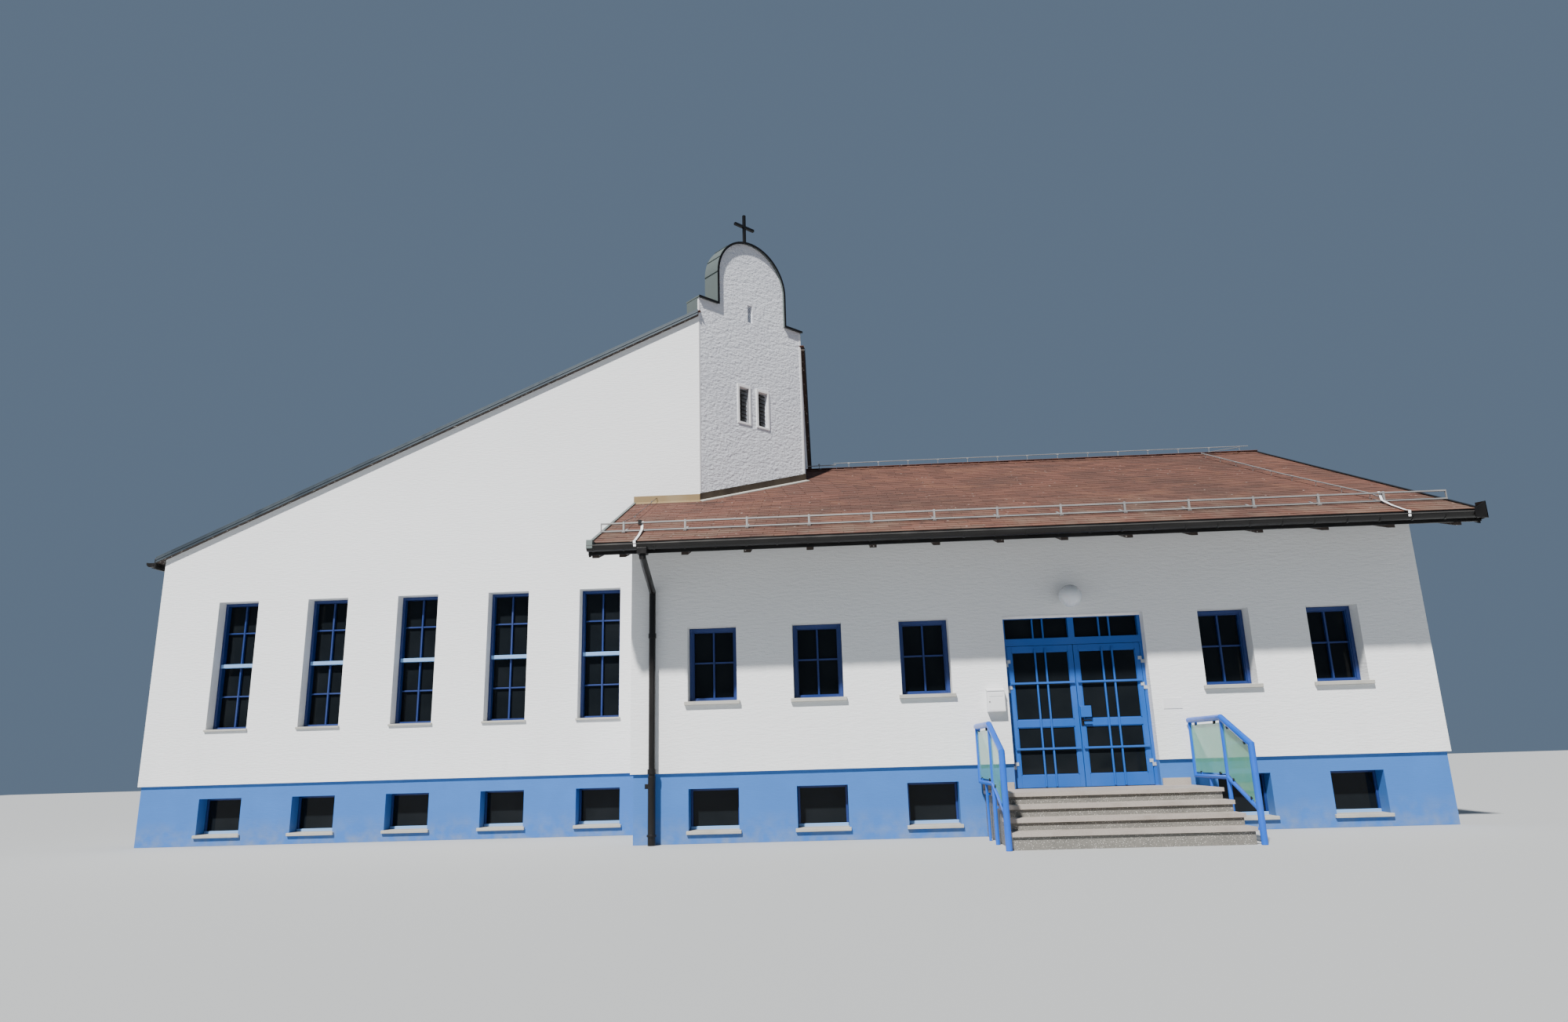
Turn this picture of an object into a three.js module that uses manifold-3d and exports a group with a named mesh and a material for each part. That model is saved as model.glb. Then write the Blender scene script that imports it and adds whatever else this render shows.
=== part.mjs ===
// Modern church: a low hall wing, a taller nave, and a bell gable on the nave's cut corner.
// Millimetres. X runs along the entrance front, Y into the building, Z up from the ground.
// X = 0 is the left end of the wing's front wall and Y = 0 is that wall's outer face.
// At the end everything is moved so that the origin lies under the middle of the whole.
import * as THREE from 'three';
import Module from 'manifold-3d';

const wasm = await Module();
wasm.setup();

// Running gaps
const GAP = 0.3;              // between neighbours that would otherwise share a slanted or turned face

// Walls and storeys
const WALL = 300;             // masonry outer wall
const PLINTH_TOP = 985;       // the white wall starts here
const PLINTH_SET_BACK = 40;   // blue plinth behind the white face
const FLOOR_TOP = 630;
const FLOOR_THICK = 200;
const DOORWAY_STAND = 8;      // door leaf over the landing

// Hall wing
const WING_WIDTH = 11650;
const WING_DEPTH = 10400;
const WING_EAVE_OUT = 1125;   // roof edge in front of the wall
const WING_EAVE_TOP = 4210;
const WING_VERGE_LEFT = -390;
const WING_VERGE_RIGHT = 11945;

// Roofs
const PITCH = 0.44;           // rise over run, all slopes
const ROOF_THICK = 180;       // the wing's, measured upright
const NAVE_ROOF_THICK = 70;   // a thin edge over the nave's verge

// Nave: a square plan with the front right corner cut off at 45 degrees
const NAVE_LEFT = -8845;
const NAVE_FRONT = 2020;
const NAVE_RIGHT = 2618;
const NAVE_BACK = 13483;
const CORNER_X = 787;         // left end of the cut corner
const CORNER_Y = 3851;        // right end of the cut corner
const NAVE_VERGE_TOP = 9220;  // roof surface at both ends of the cut corner
const NAVE_VERGE_OUT = 70;
const NAVE_EAVE_OUT = 135;

// Bell gable on the cut corner, s runs along its face from left to right
const GABLE_LENGTH = (NAVE_RIGHT - CORNER_X) * Math.SQRT2;
const GABLE_THICK = 330;
const SHOULDER_TOP = 9530;
const ARCH_FROM = 455;
const ARCH_TO = 2135;
const ARCH_SPRING = 10196;
const CAP_THICK = 25;
const CAP_LIP = 50;            // the cap's edge in front of the face
const LOUVRE_Z = [7290, 7995];
const LOUVRE_S = [[950, 1185], [1415, 1650]];
const SLIT_S = [1200, 1320];
const SLIT_Z = [9380, 9740];
const SLIT_DEEP = 200;
const CROSS_TOP = 11790;
const CROSS_BAR_Z = 11530;
const CROSS_BAR = 490;
const CROSS_SIZE = 50;

// Windows: left edges, widths and heights of the openings
const WING_WINDOW = { width: 735, sill: 1993, top: 3110 };
const WING_WINDOW_X = [850, 2425, 4015, 8400, 9965];
const NAVE_WINDOW = { width: 715, sill: 1892, top: 4104 };
const NAVE_WINDOW_X = -7768;
const NAVE_WINDOW_PITCH = 1610;
const NAVE_WINDOW_COUNT = 5;
const CELLAR_WINDOW = { width: 735, sill: 165, top: 760 };
const PANE_SHEET = 12;

// Entrance
const DOOR_LEFT = 5555;
const DOOR_RIGHT = 7605;
const DOOR_TOP = 3110;
const FRAME_FACE = 160;       // frame and leaves behind the wall's face
const FRAME_DEEP = 80;
const JAMB = 45;
const HEAD = 35;
const TRANSOM_Z = [2675, 2780];
const LEAF_THICK = 50;
const LEAF_GAP = 5;
const MEETING_GAP = 8;        // between the two leaves, wide enough for the swing
const STILE = 75;
const LEAF_TOP_RAIL = 90;
const LEAF_BOTTOM_RAIL = 172;
const LEAF_MID_RAIL = [851, 952];
const KNUCKLE_R = 8;
const KNUCKLE_OUT = 10;       // hinge line in front of the leaf's face
const HINGE_Z = [900, 1990, 2370];
const KNUCKLE_LONG = 50;
const LOCK_BOX = { width: 155, low: 1611, high: 1773, out: 55 };

// Steps: nosing fronts and tread tops, landing first
const STEP_LEFT = 5090;
const STEP_RIGHT = 8015;
const NOSING_Y = [-1180, -1490, -1790, -2085];
const TREAD_TOP = [630, 487, 345, 203];
const TREAD_THICK = 50;
const NOSING_OUT = 30;
const UPSTAND = { high: 100, deep: 25, clear: 20 };

// Railings
const RAIL_X = [5045, 8060];
const RAIL_R = 40;
const POST_R = 27;
const RAIL_LEVEL = 1515;
const RAIL_REAR_Y = -60;
const RAIL_MID_Y = -1260;
const RAIL_FRONT_Y = -2115;
const RAIL_BEND_Z = 1166;
const REAR_FOOT_Y = -640;      // thin foot under the level part
const LOWER_RAIL = { level: 755, bend: 390 };
const GLASS_THICK = 8;
const GLASS_SIDE = 45;        // glass edge to the post's middle line
const GLASS_TOP = 65;         // glass edge to the rail's middle line
const GLASS_FOOT = 50;

// Rainwater
const GUTTER_R = 75;
const GUTTER_SKIN = 6;
const FASCIA = 25;
const PIPE_R = 50;
const PIPE_WALL = { x: 335, y: -85, z: 3650 };
const PIPE_OUTLET_X = 400;

// Snow guard
const GUARD_Y = -540;
const GUARD_RAILS = [32, 150]; // lower edges over the roof surface
const GUARD_RAIL_HIGH = 20;
const GUARD_FIRST = -16;       // middle of the first post
const GUARD_PITCH = 922;
const GUARD_POSTS = 13;

const paint = (color, roughness = 0.7, metalness = 0) =>
  new THREE.MeshStandardMaterial({ color, roughness, metalness });
const WHITE = 0xeff2f5, BLUE = 0x3d78c4, BROWN = 0x2b2422, ROOF = 0x8b6656;
const STONE = 0xccc0b5, GREY = 0x97928a, GLASS = 0x1c2430, PALE_GLASS = 0x9ecfb4, ZINC = 0x8a918f;

const group = new THREE.Group();
function add(name, geometry, color, roughness, metalness) {
  const mesh = new THREE.Mesh(geometry, paint(color, roughness, metalness));
  mesh.name = name;
  group.add(mesh);
  return mesh;
}

// Closed solids and booleans
function weld(geometry) {
  const kept = new Map();
  const spots = [], tris = [];
  const pos = geometry.attributes.position;
  const order = geometry.index ? geometry.index.array : null;
  const n = order ? order.length : pos.count;
  const seat = (i) => {
    const p = [pos.getX(i), pos.getY(i), pos.getZ(i)];
    const key = p.map((v) => Math.round(v * 1000)).join(',');
    if (!kept.has(key)) { kept.set(key, spots.length / 3); spots.push(...p); }
    return kept.get(key);
  };
  for (let k = 0; k < n; k += 3) {
    const t = [0, 1, 2].map((j) => seat(order ? order[k + j] : k + j));
    if (t[0] !== t[1] && t[1] !== t[2] && t[2] !== t[0]) tris.push(...t);
  }
  return { spots, tris };
}

function toSolid(geometry) {
  const { spots, tris } = weld(geometry);
  return new wasm.Manifold(new wasm.Mesh({
    numProp: 3, vertProperties: new Float32Array(spots), triVerts: new Uint32Array(tris),
  }));
}

function toGeometry(solid) {
  const mesh = solid.getMesh();
  const geometry = new THREE.BufferGeometry();
  geometry.setAttribute('position', new THREE.BufferAttribute(new Float32Array(mesh.vertProperties), 3));
  geometry.setIndex(new THREE.BufferAttribute(new Uint32Array(mesh.triVerts), 1));
  const flat = geometry.toNonIndexed();
  flat.computeVertexNormals();
  return flat;
}

function join(geometries) {
  return toGeometry(geometries.map(toSolid).reduce((a, b) => a.add(b)));
}

function cut(geometry, tools) {
  return toGeometry(tools.map(toSolid).reduce((a, b) => a.subtract(b), toSolid(geometry)));
}

function box(x0, x1, y0, y1, z0, z1) {
  const g = new THREE.BoxGeometry(x1 - x0, y1 - y0, z1 - z0);
  return g.translate((x0 + x1) / 2, (y0 + y1) / 2, (z0 + z1) / 2);
}

// An upright prism over a plan outline, with top and bottom given as numbers or planes z(x, y)
function prism(outline, bottom, top) {
  const plan = outline.map(([x, y]) => new THREE.Vector2(x, y));
  if (THREE.ShapeUtils.isClockWise(plan)) plan.reverse();
  const at = (f, p) => (typeof f === 'function' ? f(p.x, p.y) : f);
  const low = plan.map((p) => [p.x, p.y, at(bottom, p)]);
  const high = plan.map((p) => [p.x, p.y, at(top, p)]);
  const out = [];
  for (const [a, b, c] of THREE.ShapeUtils.triangulateShape(plan, [])) {
    out.push(...high[a], ...high[b], ...high[c], ...low[a], ...low[c], ...low[b]);
  }
  plan.forEach((p, i) => {
    const j = (i + 1) % plan.length;
    out.push(...low[i], ...low[j], ...high[j], ...low[i], ...high[j], ...high[i]);
  });
  const g = new THREE.BufferGeometry();
  g.setAttribute('position', new THREE.BufferAttribute(new Float32Array(out), 3));
  g.computeVertexNormals();
  return g;
}

// A round tube along corners that all lie in one plane, mitred in each bend
function tube(points, r, sides = 12) {
  const pts = points.map((p) => new THREE.Vector3(...p));
  const ways = pts.slice(1).map((p, i) => p.clone().sub(pts[i]).normalize());
  let normal = new THREE.Vector3();
  ways.slice(1).forEach((w, i) => { if (normal.length() < 1e-6) normal = ways[i].clone().cross(w); });
  if (normal.length() < 1e-6) normal = ways[0].clone().cross(new THREE.Vector3(0.2, 0.7, 0.9));
  normal.normalize();
  const rings = pts.map((p, i) => {
    const before = ways[Math.max(0, i - 1)], after = ways[Math.min(ways.length - 1, i)];
    const side = before.clone().cross(normal).add(after.clone().cross(normal)).normalize();
    const stretch = 1 / side.dot(before.clone().cross(normal));
    return Array.from({ length: sides }, (_, k) => {
      const a = (2 * Math.PI * (k + 0.27)) / sides;
      return p.clone().addScaledVector(normal, r * Math.cos(a)).addScaledVector(side, r * stretch * Math.sin(a));
    });
  });
  const out = [];
  const tri = (...v) => v.forEach((q) => out.push(q.x, q.y, q.z));
  for (let i = 0; i + 1 < rings.length; i += 1) {
    for (let k = 0; k < sides; k += 1) {
      const j = (k + 1) % sides;
      tri(rings[i][k], rings[i][j], rings[i + 1][j]);
      tri(rings[i][k], rings[i + 1][j], rings[i + 1][k]);
    }
  }
  const last = rings[rings.length - 1];
  for (let k = 1; k + 1 < sides; k += 1) {
    tri(rings[0][0], rings[0][k + 1], rings[0][k]);
    tri(last[0], last[k], last[k + 1]);
  }
  const g = new THREE.BufferGeometry();
  g.setAttribute('position', new THREE.BufferAttribute(new Float32Array(out), 3));
  g.computeVertexNormals();
  return g;
}

// Roof planes
const wingFrontTop = (x, y) => WING_EAVE_TOP + PITCH * (y + WING_EAVE_OUT);
const wingBackTop = (x, y) => WING_EAVE_TOP + PITCH * (WING_DEPTH + WING_EAVE_OUT - y);
const naveLeftTop = (x) => NAVE_VERGE_TOP + PITCH * (x - CORNER_X);
const naveBackTop = (x, y) => NAVE_VERGE_TOP - PITCH * (y - CORNER_Y);
const lower = (plane, by) => (x, y) => plane(x, y) - by;
const RIDGE_Y = WING_DEPTH / 2;
const SKY = 16000;
const FAR = 20000;
const wide = [[-FAR, -FAR], [FAR, -FAR], [FAR, FAR], [-FAR, FAR]];
const aboveWing = () => [wingFrontTop, wingBackTop].map((p) => prism(wide, lower(p, ROOF_THICK + GAP), SKY * 2));
const aboveNave = () => [naveLeftTop, naveBackTop]
  .map((p) => prism(wide, lower(p, NAVE_ROOF_THICK + GAP), SKY * 2));

// The cut corner in plan, at a distance in behind its face
const H = Math.SQRT1_2;
const onFace = (s, inward) => [CORNER_X + H * (s - inward), NAVE_FRONT + H * (s + inward)];

// The nave's plan is the same on both sides of the diagonal through the cut corner
const overDiagonal = ([x, y]) => [CORNER_X + CORNER_Y - y, CORNER_X + CORNER_Y - x];

// Places a shape drawn as (s, z) on the cut corner, from one distance behind the face to another
function onGable(shape, from, to, curve = 24) {
  const g = new THREE.ExtrudeGeometry(shape, { depth: to - from, bevelEnabled: false, curveSegments: curve });
  g.translate(0, 0, -to);
  const m = new THREE.Matrix4().makeBasis(
    new THREE.Vector3(H, H, 0), new THREE.Vector3(0, 0, 1), new THREE.Vector3(H, -H, 0));
  g.applyMatrix4(m);
  return g.translate(CORNER_X, NAVE_FRONT, 0);
}

function panel(points) {
  const s = new THREE.Shape();
  points.forEach(([x, y], i) => (i ? s.lineTo(x, y) : s.moveTo(x, y)));
  s.closePath();
  return s;
}

const oblong = (x0, x1, y0, y1) => panel([[x0, y0], [x1, y0], [x1, y1], [x0, y1]]);

// Window rows
const naveWindowStarts = (from, way) => Array.from({ length: NAVE_WINDOW_COUNT },
  (_, i) => from + way * i * NAVE_WINDOW_PITCH);
const frontNaveX = naveWindowStarts(NAVE_WINDOW_X, 1);
const leftNaveY = frontNaveX.map((x) => NAVE_FRONT + (x - NAVE_LEFT) + 300);
const backNaveX = frontNaveX.map((x) => x + 900);
const rightWingY = [1900, 3500, 6000, 7600];
const backWingX = [3500, 5100, 6700, 8300, 9900];

function alongX(starts, kind, y0, y1, grow = 0) {
  return starts.map((x) => box(x - grow, x + kind.width + grow, y0, y1, kind.sill, kind.top));
}

function alongY(starts, kind, x0, x1) {
  return starts.map((y) => box(x0, x1, y, y + kind.width, kind.sill, kind.top));
}

// One sheet closes a row of windows on the inner face of its wall
function sheetX(starts, kind, y, inward) {
  const a = Math.min(...starts) - 40, b = Math.max(...starts) + kind.width + 40;
  const [y0, y1] = inward > 0 ? [y, y + PANE_SHEET] : [y - PANE_SHEET, y];
  return box(a, b, y0, y1, kind.sill - 40, kind.top + 40);
}

function sheetY(starts, kind, x, inward) {
  const a = Math.min(...starts) - 40, b = Math.max(...starts) + kind.width + 40;
  const [x0, x1] = inward > 0 ? [x, x + PANE_SHEET] : [x - PANE_SHEET, x];
  return box(x0, x1, a, b, kind.sill - 40, kind.top + 40);
}

// Walls of the nave
function naveWalls() {
  const back = 50;
  const plinthFront = box(NAVE_LEFT - back, 0, NAVE_FRONT - back, NAVE_FRONT + PLINTH_SET_BACK, -back, PLINTH_TOP);
  const plinthLeft = box(NAVE_LEFT - back, NAVE_LEFT + PLINTH_SET_BACK, 0, FAR, -back, PLINTH_TOP);
  const plinthBack = box(-FAR, FAR, NAVE_BACK - PLINTH_SET_BACK, NAVE_BACK + back, -back, PLINTH_TOP);
  const plinthRight = box(NAVE_RIGHT - PLINTH_SET_BACK, NAVE_RIGHT + back, WING_DEPTH, FAR, -back, PLINTH_TOP);
  const [innerX, innerY] = onFace(-0.5, GABLE_THICK);
  const frontPlan = [[NAVE_LEFT, NAVE_FRONT], [CORNER_X - 0.8, NAVE_FRONT], [innerX, innerY],
    [innerX, NAVE_FRONT + WALL], [NAVE_LEFT, NAVE_FRONT + WALL]];
  const front = prism(frontPlan, 0, SKY);
  add('nave_front_wall', cut(front, [...aboveNave(), plinthFront, plinthLeft,
    ...alongX(frontNaveX, NAVE_WINDOW, NAVE_FRONT - back, NAVE_FRONT + WALL + back),
    ...alongX(frontNaveX, CELLAR_WINDOW, NAVE_FRONT - back, NAVE_FRONT + WALL + back)]), WHITE, 0.9);
  const left = box(NAVE_LEFT, NAVE_LEFT + WALL, NAVE_FRONT + WALL, NAVE_BACK - WALL, 0, SKY);
  add('nave_left_wall', cut(left, [...aboveNave(), plinthLeft,
    ...alongY(leftNaveY, NAVE_WINDOW, NAVE_LEFT - back, NAVE_LEFT + WALL + back),
    ...alongY(leftNaveY, CELLAR_WINDOW, NAVE_LEFT - back, NAVE_LEFT + WALL + back)]), WHITE, 0.9);
  const rear = box(NAVE_LEFT, NAVE_RIGHT, NAVE_BACK - WALL, NAVE_BACK, 0, SKY);
  add('nave_back_wall', cut(rear, [...aboveNave(), plinthBack, plinthLeft, plinthRight,
    ...alongX(backNaveX, NAVE_WINDOW, NAVE_BACK - WALL - back, NAVE_BACK + back),
    ...alongX(backNaveX, CELLAR_WINDOW, NAVE_BACK - WALL - back, NAVE_BACK + back)]), WHITE, 0.9);
  const right = prism([[NAVE_RIGHT, NAVE_BACK - WALL], ...frontPlan.slice(1, 4).map(overDiagonal),
    [NAVE_RIGHT - WALL, NAVE_BACK - WALL]], 0, SKY);
  const passage = box(0, NAVE_RIGHT + back, 5000, 6600, FLOOR_TOP, FLOOR_TOP + 2200);
  add('nave_right_wall', cut(right, [...aboveNave(), plinthRight, passage]), WHITE, 0.9);
}

// Bell gable, its metal cap, louvres and cross
function bellGable() {
  const L = GABLE_LENGTH, mid = (ARCH_FROM + ARCH_TO) / 2, r = (ARCH_TO - ARCH_FROM) / 2;
  const face = new THREE.Shape();
  face.moveTo(0, 0);
  face.lineTo(L, 0);
  face.lineTo(L, SHOULDER_TOP);
  face.lineTo(ARCH_TO, SHOULDER_TOP);
  face.lineTo(ARCH_TO, ARCH_SPRING);
  face.absarc(mid, ARCH_SPRING, r, 0, Math.PI, false);
  face.lineTo(ARCH_FROM, SHOULDER_TOP);
  face.lineTo(0, SHOULDER_TOP);
  face.closePath();
  add('bell_gable', cut(onGable(face, 0, GABLE_THICK), [
    ...LOUVRE_S.map(([a, b]) => onGable(oblong(a, b, ...LOUVRE_Z), -50, GABLE_THICK + 50)),
    onGable(oblong(...SLIT_S, ...SLIT_Z), -50, SLIT_DEEP)]), WHITE, 0.95);

  const c = GAP, t = CAP_THICK + GAP;
  const cap = new THREE.Shape();
  cap.moveTo(-20, SHOULDER_TOP + c);
  cap.lineTo(ARCH_FROM - c, SHOULDER_TOP + c);
  cap.lineTo(ARCH_FROM - c, ARCH_SPRING);
  cap.absarc(mid, ARCH_SPRING, r + c, Math.PI, 0, true);
  cap.lineTo(ARCH_TO + c, SHOULDER_TOP + c);
  cap.lineTo(L + 20, SHOULDER_TOP + c);
  cap.lineTo(L + 20, SHOULDER_TOP + t);
  cap.lineTo(ARCH_TO + t, SHOULDER_TOP + t);
  cap.lineTo(ARCH_TO + t, ARCH_SPRING);
  cap.absarc(mid, ARCH_SPRING, r + t, 0, Math.PI, false);
  cap.lineTo(ARCH_FROM - t, SHOULDER_TOP + t);
  cap.lineTo(-20, SHOULDER_TOP + t);
  cap.closePath();
  add('gable_cap', onGable(cap, -CAP_LIP, GABLE_THICK + 20), ZINC, 0.45, 0.7);

  const slack = 3;
  const blocks = LOUVRE_S.map(([a, b]) => onGable(
    oblong(a + slack, b - slack, LOUVRE_Z[0] + slack, LOUVRE_Z[1] - slack), 60, GABLE_THICK + 10));
  const board = onGable(oblong(LOUVRE_S[0][0] - 60, LOUVRE_S[1][1] + 60, LOUVRE_Z[0] - 60, LOUVRE_Z[1] + 60),
    GABLE_THICK + GAP, GABLE_THICK + 25);
  add('bell_louvres', join([...blocks, board]), 0xd9dcdc, 0.8);

  const foot = ARCH_SPRING + r + t + GAP, w = CROSS_SIZE / 2, d = GABLE_THICK / 2;
  const cross = panel([
    [mid - w, foot], [mid + w, foot], [mid + w, CROSS_BAR_Z - w], [mid + CROSS_BAR / 2, CROSS_BAR_Z - w],
    [mid + CROSS_BAR / 2, CROSS_BAR_Z + w], [mid + w, CROSS_BAR_Z + w], [mid + w, CROSS_TOP],
    [mid - w, CROSS_TOP], [mid - w, CROSS_BAR_Z + w], [mid - CROSS_BAR / 2, CROSS_BAR_Z + w],
    [mid - CROSS_BAR / 2, CROSS_BAR_Z - w], [mid - w, CROSS_BAR_Z - w]]);
  add('gable_cross', onGable(cross, d - w, d + w), 0x17181a, 0.5, 0.6);
}

// Walls of the wing
function wingWalls() {
  const back = 50;
  const plinth = [
    box(-back, FAR, -back, PLINTH_SET_BACK, -back, PLINTH_TOP),
    box(-back, PLINTH_SET_BACK, -back, NAVE_FRONT, -back, PLINTH_TOP),
    box(WING_WIDTH - PLINTH_SET_BACK, WING_WIDTH + back, -back, FAR, -back, PLINTH_TOP),
    box(NAVE_RIGHT + GAP, FAR, WING_DEPTH - PLINTH_SET_BACK, WING_DEPTH + back, -back, PLINTH_TOP)];
  const rowsX = (starts, y0, y1) => [...alongX(starts, WING_WINDOW, y0, y1), ...alongX(starts, CELLAR_WINDOW, y0, y1)];
  const rowsY = (starts, x0, x1) => [...alongY(starts, WING_WINDOW, x0, x1), ...alongY(starts, CELLAR_WINDOW, x0, x1)];
  const shape = (name, solid, tools) => add(name, cut(solid, [...aboveWing(), ...plinth, ...tools]), WHITE, 0.9);
  shape('wing_front_wall_left', box(0, DOOR_LEFT, 0, WALL, 0, SKY),
    rowsX(WING_WINDOW_X.slice(0, 3), -back, WALL + back));
  shape('wing_front_wall_right', box(DOOR_RIGHT, WING_WIDTH, 0, WALL, 0, SKY),
    rowsX(WING_WINDOW_X.slice(3), -back, WALL + back));
  shape('wing_wall_over_door', box(DOOR_LEFT, DOOR_RIGHT, 0, WALL, DOOR_TOP, SKY), []);
  shape('wing_left_wall', box(0, WALL, WALL, NAVE_FRONT - GAP, 0, SKY), []);
  shape('wing_right_wall', box(WING_WIDTH - WALL, WING_WIDTH, WALL, WING_DEPTH - WALL, 0, SKY),
    rowsY(rightWingY, WING_WIDTH - WALL - back, WING_WIDTH + back));
  shape('wing_back_wall', box(NAVE_RIGHT + GAP, WING_WIDTH, WING_DEPTH - WALL, WING_DEPTH, 0, SKY),
    rowsX(backWingX, WING_DEPTH - WALL - back, WING_DEPTH + back));
}

// Sheets behind the window rows, and the floors that stop short of them
function glazingAndFloors() {
  const sheets = {
    nave_front_windows: sheetX(frontNaveX, NAVE_WINDOW, NAVE_FRONT + WALL, 1),
    nave_front_cellar_windows: sheetX(frontNaveX, CELLAR_WINDOW, NAVE_FRONT + WALL, 1),
    nave_left_windows: sheetY(leftNaveY, NAVE_WINDOW, NAVE_LEFT + WALL, 1),
    nave_left_cellar_windows: sheetY(leftNaveY, CELLAR_WINDOW, NAVE_LEFT + WALL, 1),
    nave_back_windows: sheetX(backNaveX, NAVE_WINDOW, NAVE_BACK - WALL, -1),
    nave_back_cellar_windows: sheetX(backNaveX, CELLAR_WINDOW, NAVE_BACK - WALL, -1),
    wing_front_windows_left: sheetX(WING_WINDOW_X.slice(0, 3), WING_WINDOW, WALL, 1),
    wing_front_cellar_windows_left: sheetX(WING_WINDOW_X.slice(0, 3), CELLAR_WINDOW, WALL, 1),
    wing_front_windows_right: sheetX(WING_WINDOW_X.slice(3), WING_WINDOW, WALL, 1),
    wing_front_cellar_windows_right: sheetX(WING_WINDOW_X.slice(3), CELLAR_WINDOW, WALL, 1),
    wing_right_windows: sheetY(rightWingY, WING_WINDOW, WING_WIDTH - WALL, -1),
    wing_right_cellar_windows: sheetY(rightWingY, CELLAR_WINDOW, WING_WIDTH - WALL, -1),
    wing_back_windows: sheetX(backWingX, WING_WINDOW, WING_DEPTH - WALL, -1),
    wing_back_cellar_windows: sheetX(backWingX, CELLAR_WINDOW, WING_DEPTH - WALL, -1),
  };
  const slots = [];
  for (const [name, sheet] of Object.entries(sheets)) {
    add(name, sheet, GLASS, 0.1, 0);
    if (!name.includes('cellar')) continue;
    sheet.computeBoundingBox();
    const b = sheet.boundingBox;
    slots.push(box(b.min.x - 3, b.max.x + 3, b.min.y - 3, b.max.y + 3, 0, 1000));
  }
  const low = FLOOR_TOP - FLOOR_THICK;
  const nave = prism([
    [NAVE_LEFT + WALL, NAVE_FRONT + WALL], [onFace(0, GABLE_THICK)[0] - GAP, NAVE_FRONT + WALL],
    onFace(270, GABLE_THICK + 2), onFace(GABLE_LENGTH - 270, GABLE_THICK + 2),
    [NAVE_RIGHT - WALL, CORNER_Y + 250], [NAVE_RIGHT - WALL, NAVE_BACK - WALL],
    [NAVE_LEFT + WALL, NAVE_BACK - WALL]], low, FLOOR_TOP);
  add('nave_floor', cut(nave, slots), 0xb9b2a8, 0.8);
  const wing = prism([
    [WALL, WALL], [WING_WIDTH - WALL, WALL], [WING_WIDTH - WALL, WING_DEPTH - WALL],
    [NAVE_RIGHT + GAP, WING_DEPTH - WALL], [NAVE_RIGHT + GAP, CORNER_Y - 3],
    [CORNER_X + 3, NAVE_FRONT - GAP], [WALL, NAVE_FRONT - GAP]], low, FLOOR_TOP);
  add('wing_floor', cut(wing, slots), 0xb9b2a8, 0.8);
}

// Roof slabs and the boards on their open ends
function roofs() {
  const edge = 25;
  const [x0, x1] = [WING_VERGE_LEFT + edge, WING_VERGE_RIGHT - edge];
  const clear = 1;
  const front = prism([[x0, -WING_EAVE_OUT], [x1, -WING_EAVE_OUT], [x1, RIDGE_Y], [NAVE_RIGHT + GAP, RIDGE_Y],
    [NAVE_RIGHT + GAP, CORNER_Y - 2 * clear], [CORNER_X + clear, NAVE_FRONT - GAP], [x0, NAVE_FRONT - GAP]],
  lower(wingFrontTop, ROOF_THICK), wingFrontTop);
  add('wing_roof_front', front, ROOF, 0.95);
  const back = prism([[NAVE_RIGHT + GAP, RIDGE_Y], [x1, RIDGE_Y], [x1, WING_DEPTH + WING_EAVE_OUT],
    [NAVE_RIGHT + GAP, WING_DEPTH + WING_EAVE_OUT]], lower(wingBackTop, ROOF_THICK), wingBackTop);
  add('wing_roof_back', back, ROOF, 0.95);
  const drop = ROOF_THICK + 25, rise = 15;
  const frontBoard = (a, b, end) => prism([[a, -WING_EAVE_OUT], [b, -WING_EAVE_OUT], [b, end], [a, end]],
    lower(wingFrontTop, drop), lower(wingFrontTop, -rise));
  const backBoard = prism([[x1, RIDGE_Y], [WING_VERGE_RIGHT, RIDGE_Y],
    [WING_VERGE_RIGHT, WING_DEPTH + WING_EAVE_OUT], [x1, WING_DEPTH + WING_EAVE_OUT]],
  lower(wingBackTop, drop), lower(wingBackTop, -rise));
  add('wing_verge_board_left', frontBoard(WING_VERGE_LEFT, x0, NAVE_FRONT - GAP), BROWN, 0.6);
  add('wing_verge_board_right', join([frontBoard(x1, WING_VERGE_RIGHT, RIDGE_Y), backBoard]), BROWN, 0.6);

  // The nave's two slopes meet on the diagonal from the bell gable to the far corner
  const out = NAVE_VERGE_OUT, s = 0.7;
  const eave = NAVE_LEFT - NAVE_EAVE_OUT;
  const [mx, my] = onFace(GABLE_LENGTH / 2, GABLE_THICK + s);
  const leftPlan = [[eave, NAVE_FRONT - out], [CORNER_X - 2 * s, NAVE_FRONT - out], [CORNER_X - 2 * s, NAVE_FRONT],
    onFace(0, GABLE_THICK + s).map((v, i) => v - (i ? 0 : 2 * s)), [mx, my], [eave, CORNER_X + CORNER_Y - eave]];
  add('nave_roof_left', prism(leftPlan, lower(naveLeftTop, NAVE_ROOF_THICK), naveLeftTop), ROOF, 0.95);
  const backPlan = leftPlan.map(overDiagonal);
  backPlan[4] = [mx + GAP, my + GAP];
  backPlan[5][0] += GAP;
  add('nave_roof_back', prism(backPlan, lower(naveBackTop, NAVE_ROOF_THICK), naveBackTop), ROOF, 0.95);
}

// A half round gutter with its board, drawn across and run along X or Y
function gutterShape(front) {
  const s = new THREE.Shape();
  const r = GUTTER_R, q = GUTTER_R - GUTTER_SKIN, c = -(FASCIA + r) * front;
  s.absarc(c, 0, r, Math.PI, 2 * Math.PI, false);
  s.lineTo(c + q, 0);
  s.absarc(c, 0, q, 2 * Math.PI, Math.PI, true);
  s.closePath();
  return s;
}

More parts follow.
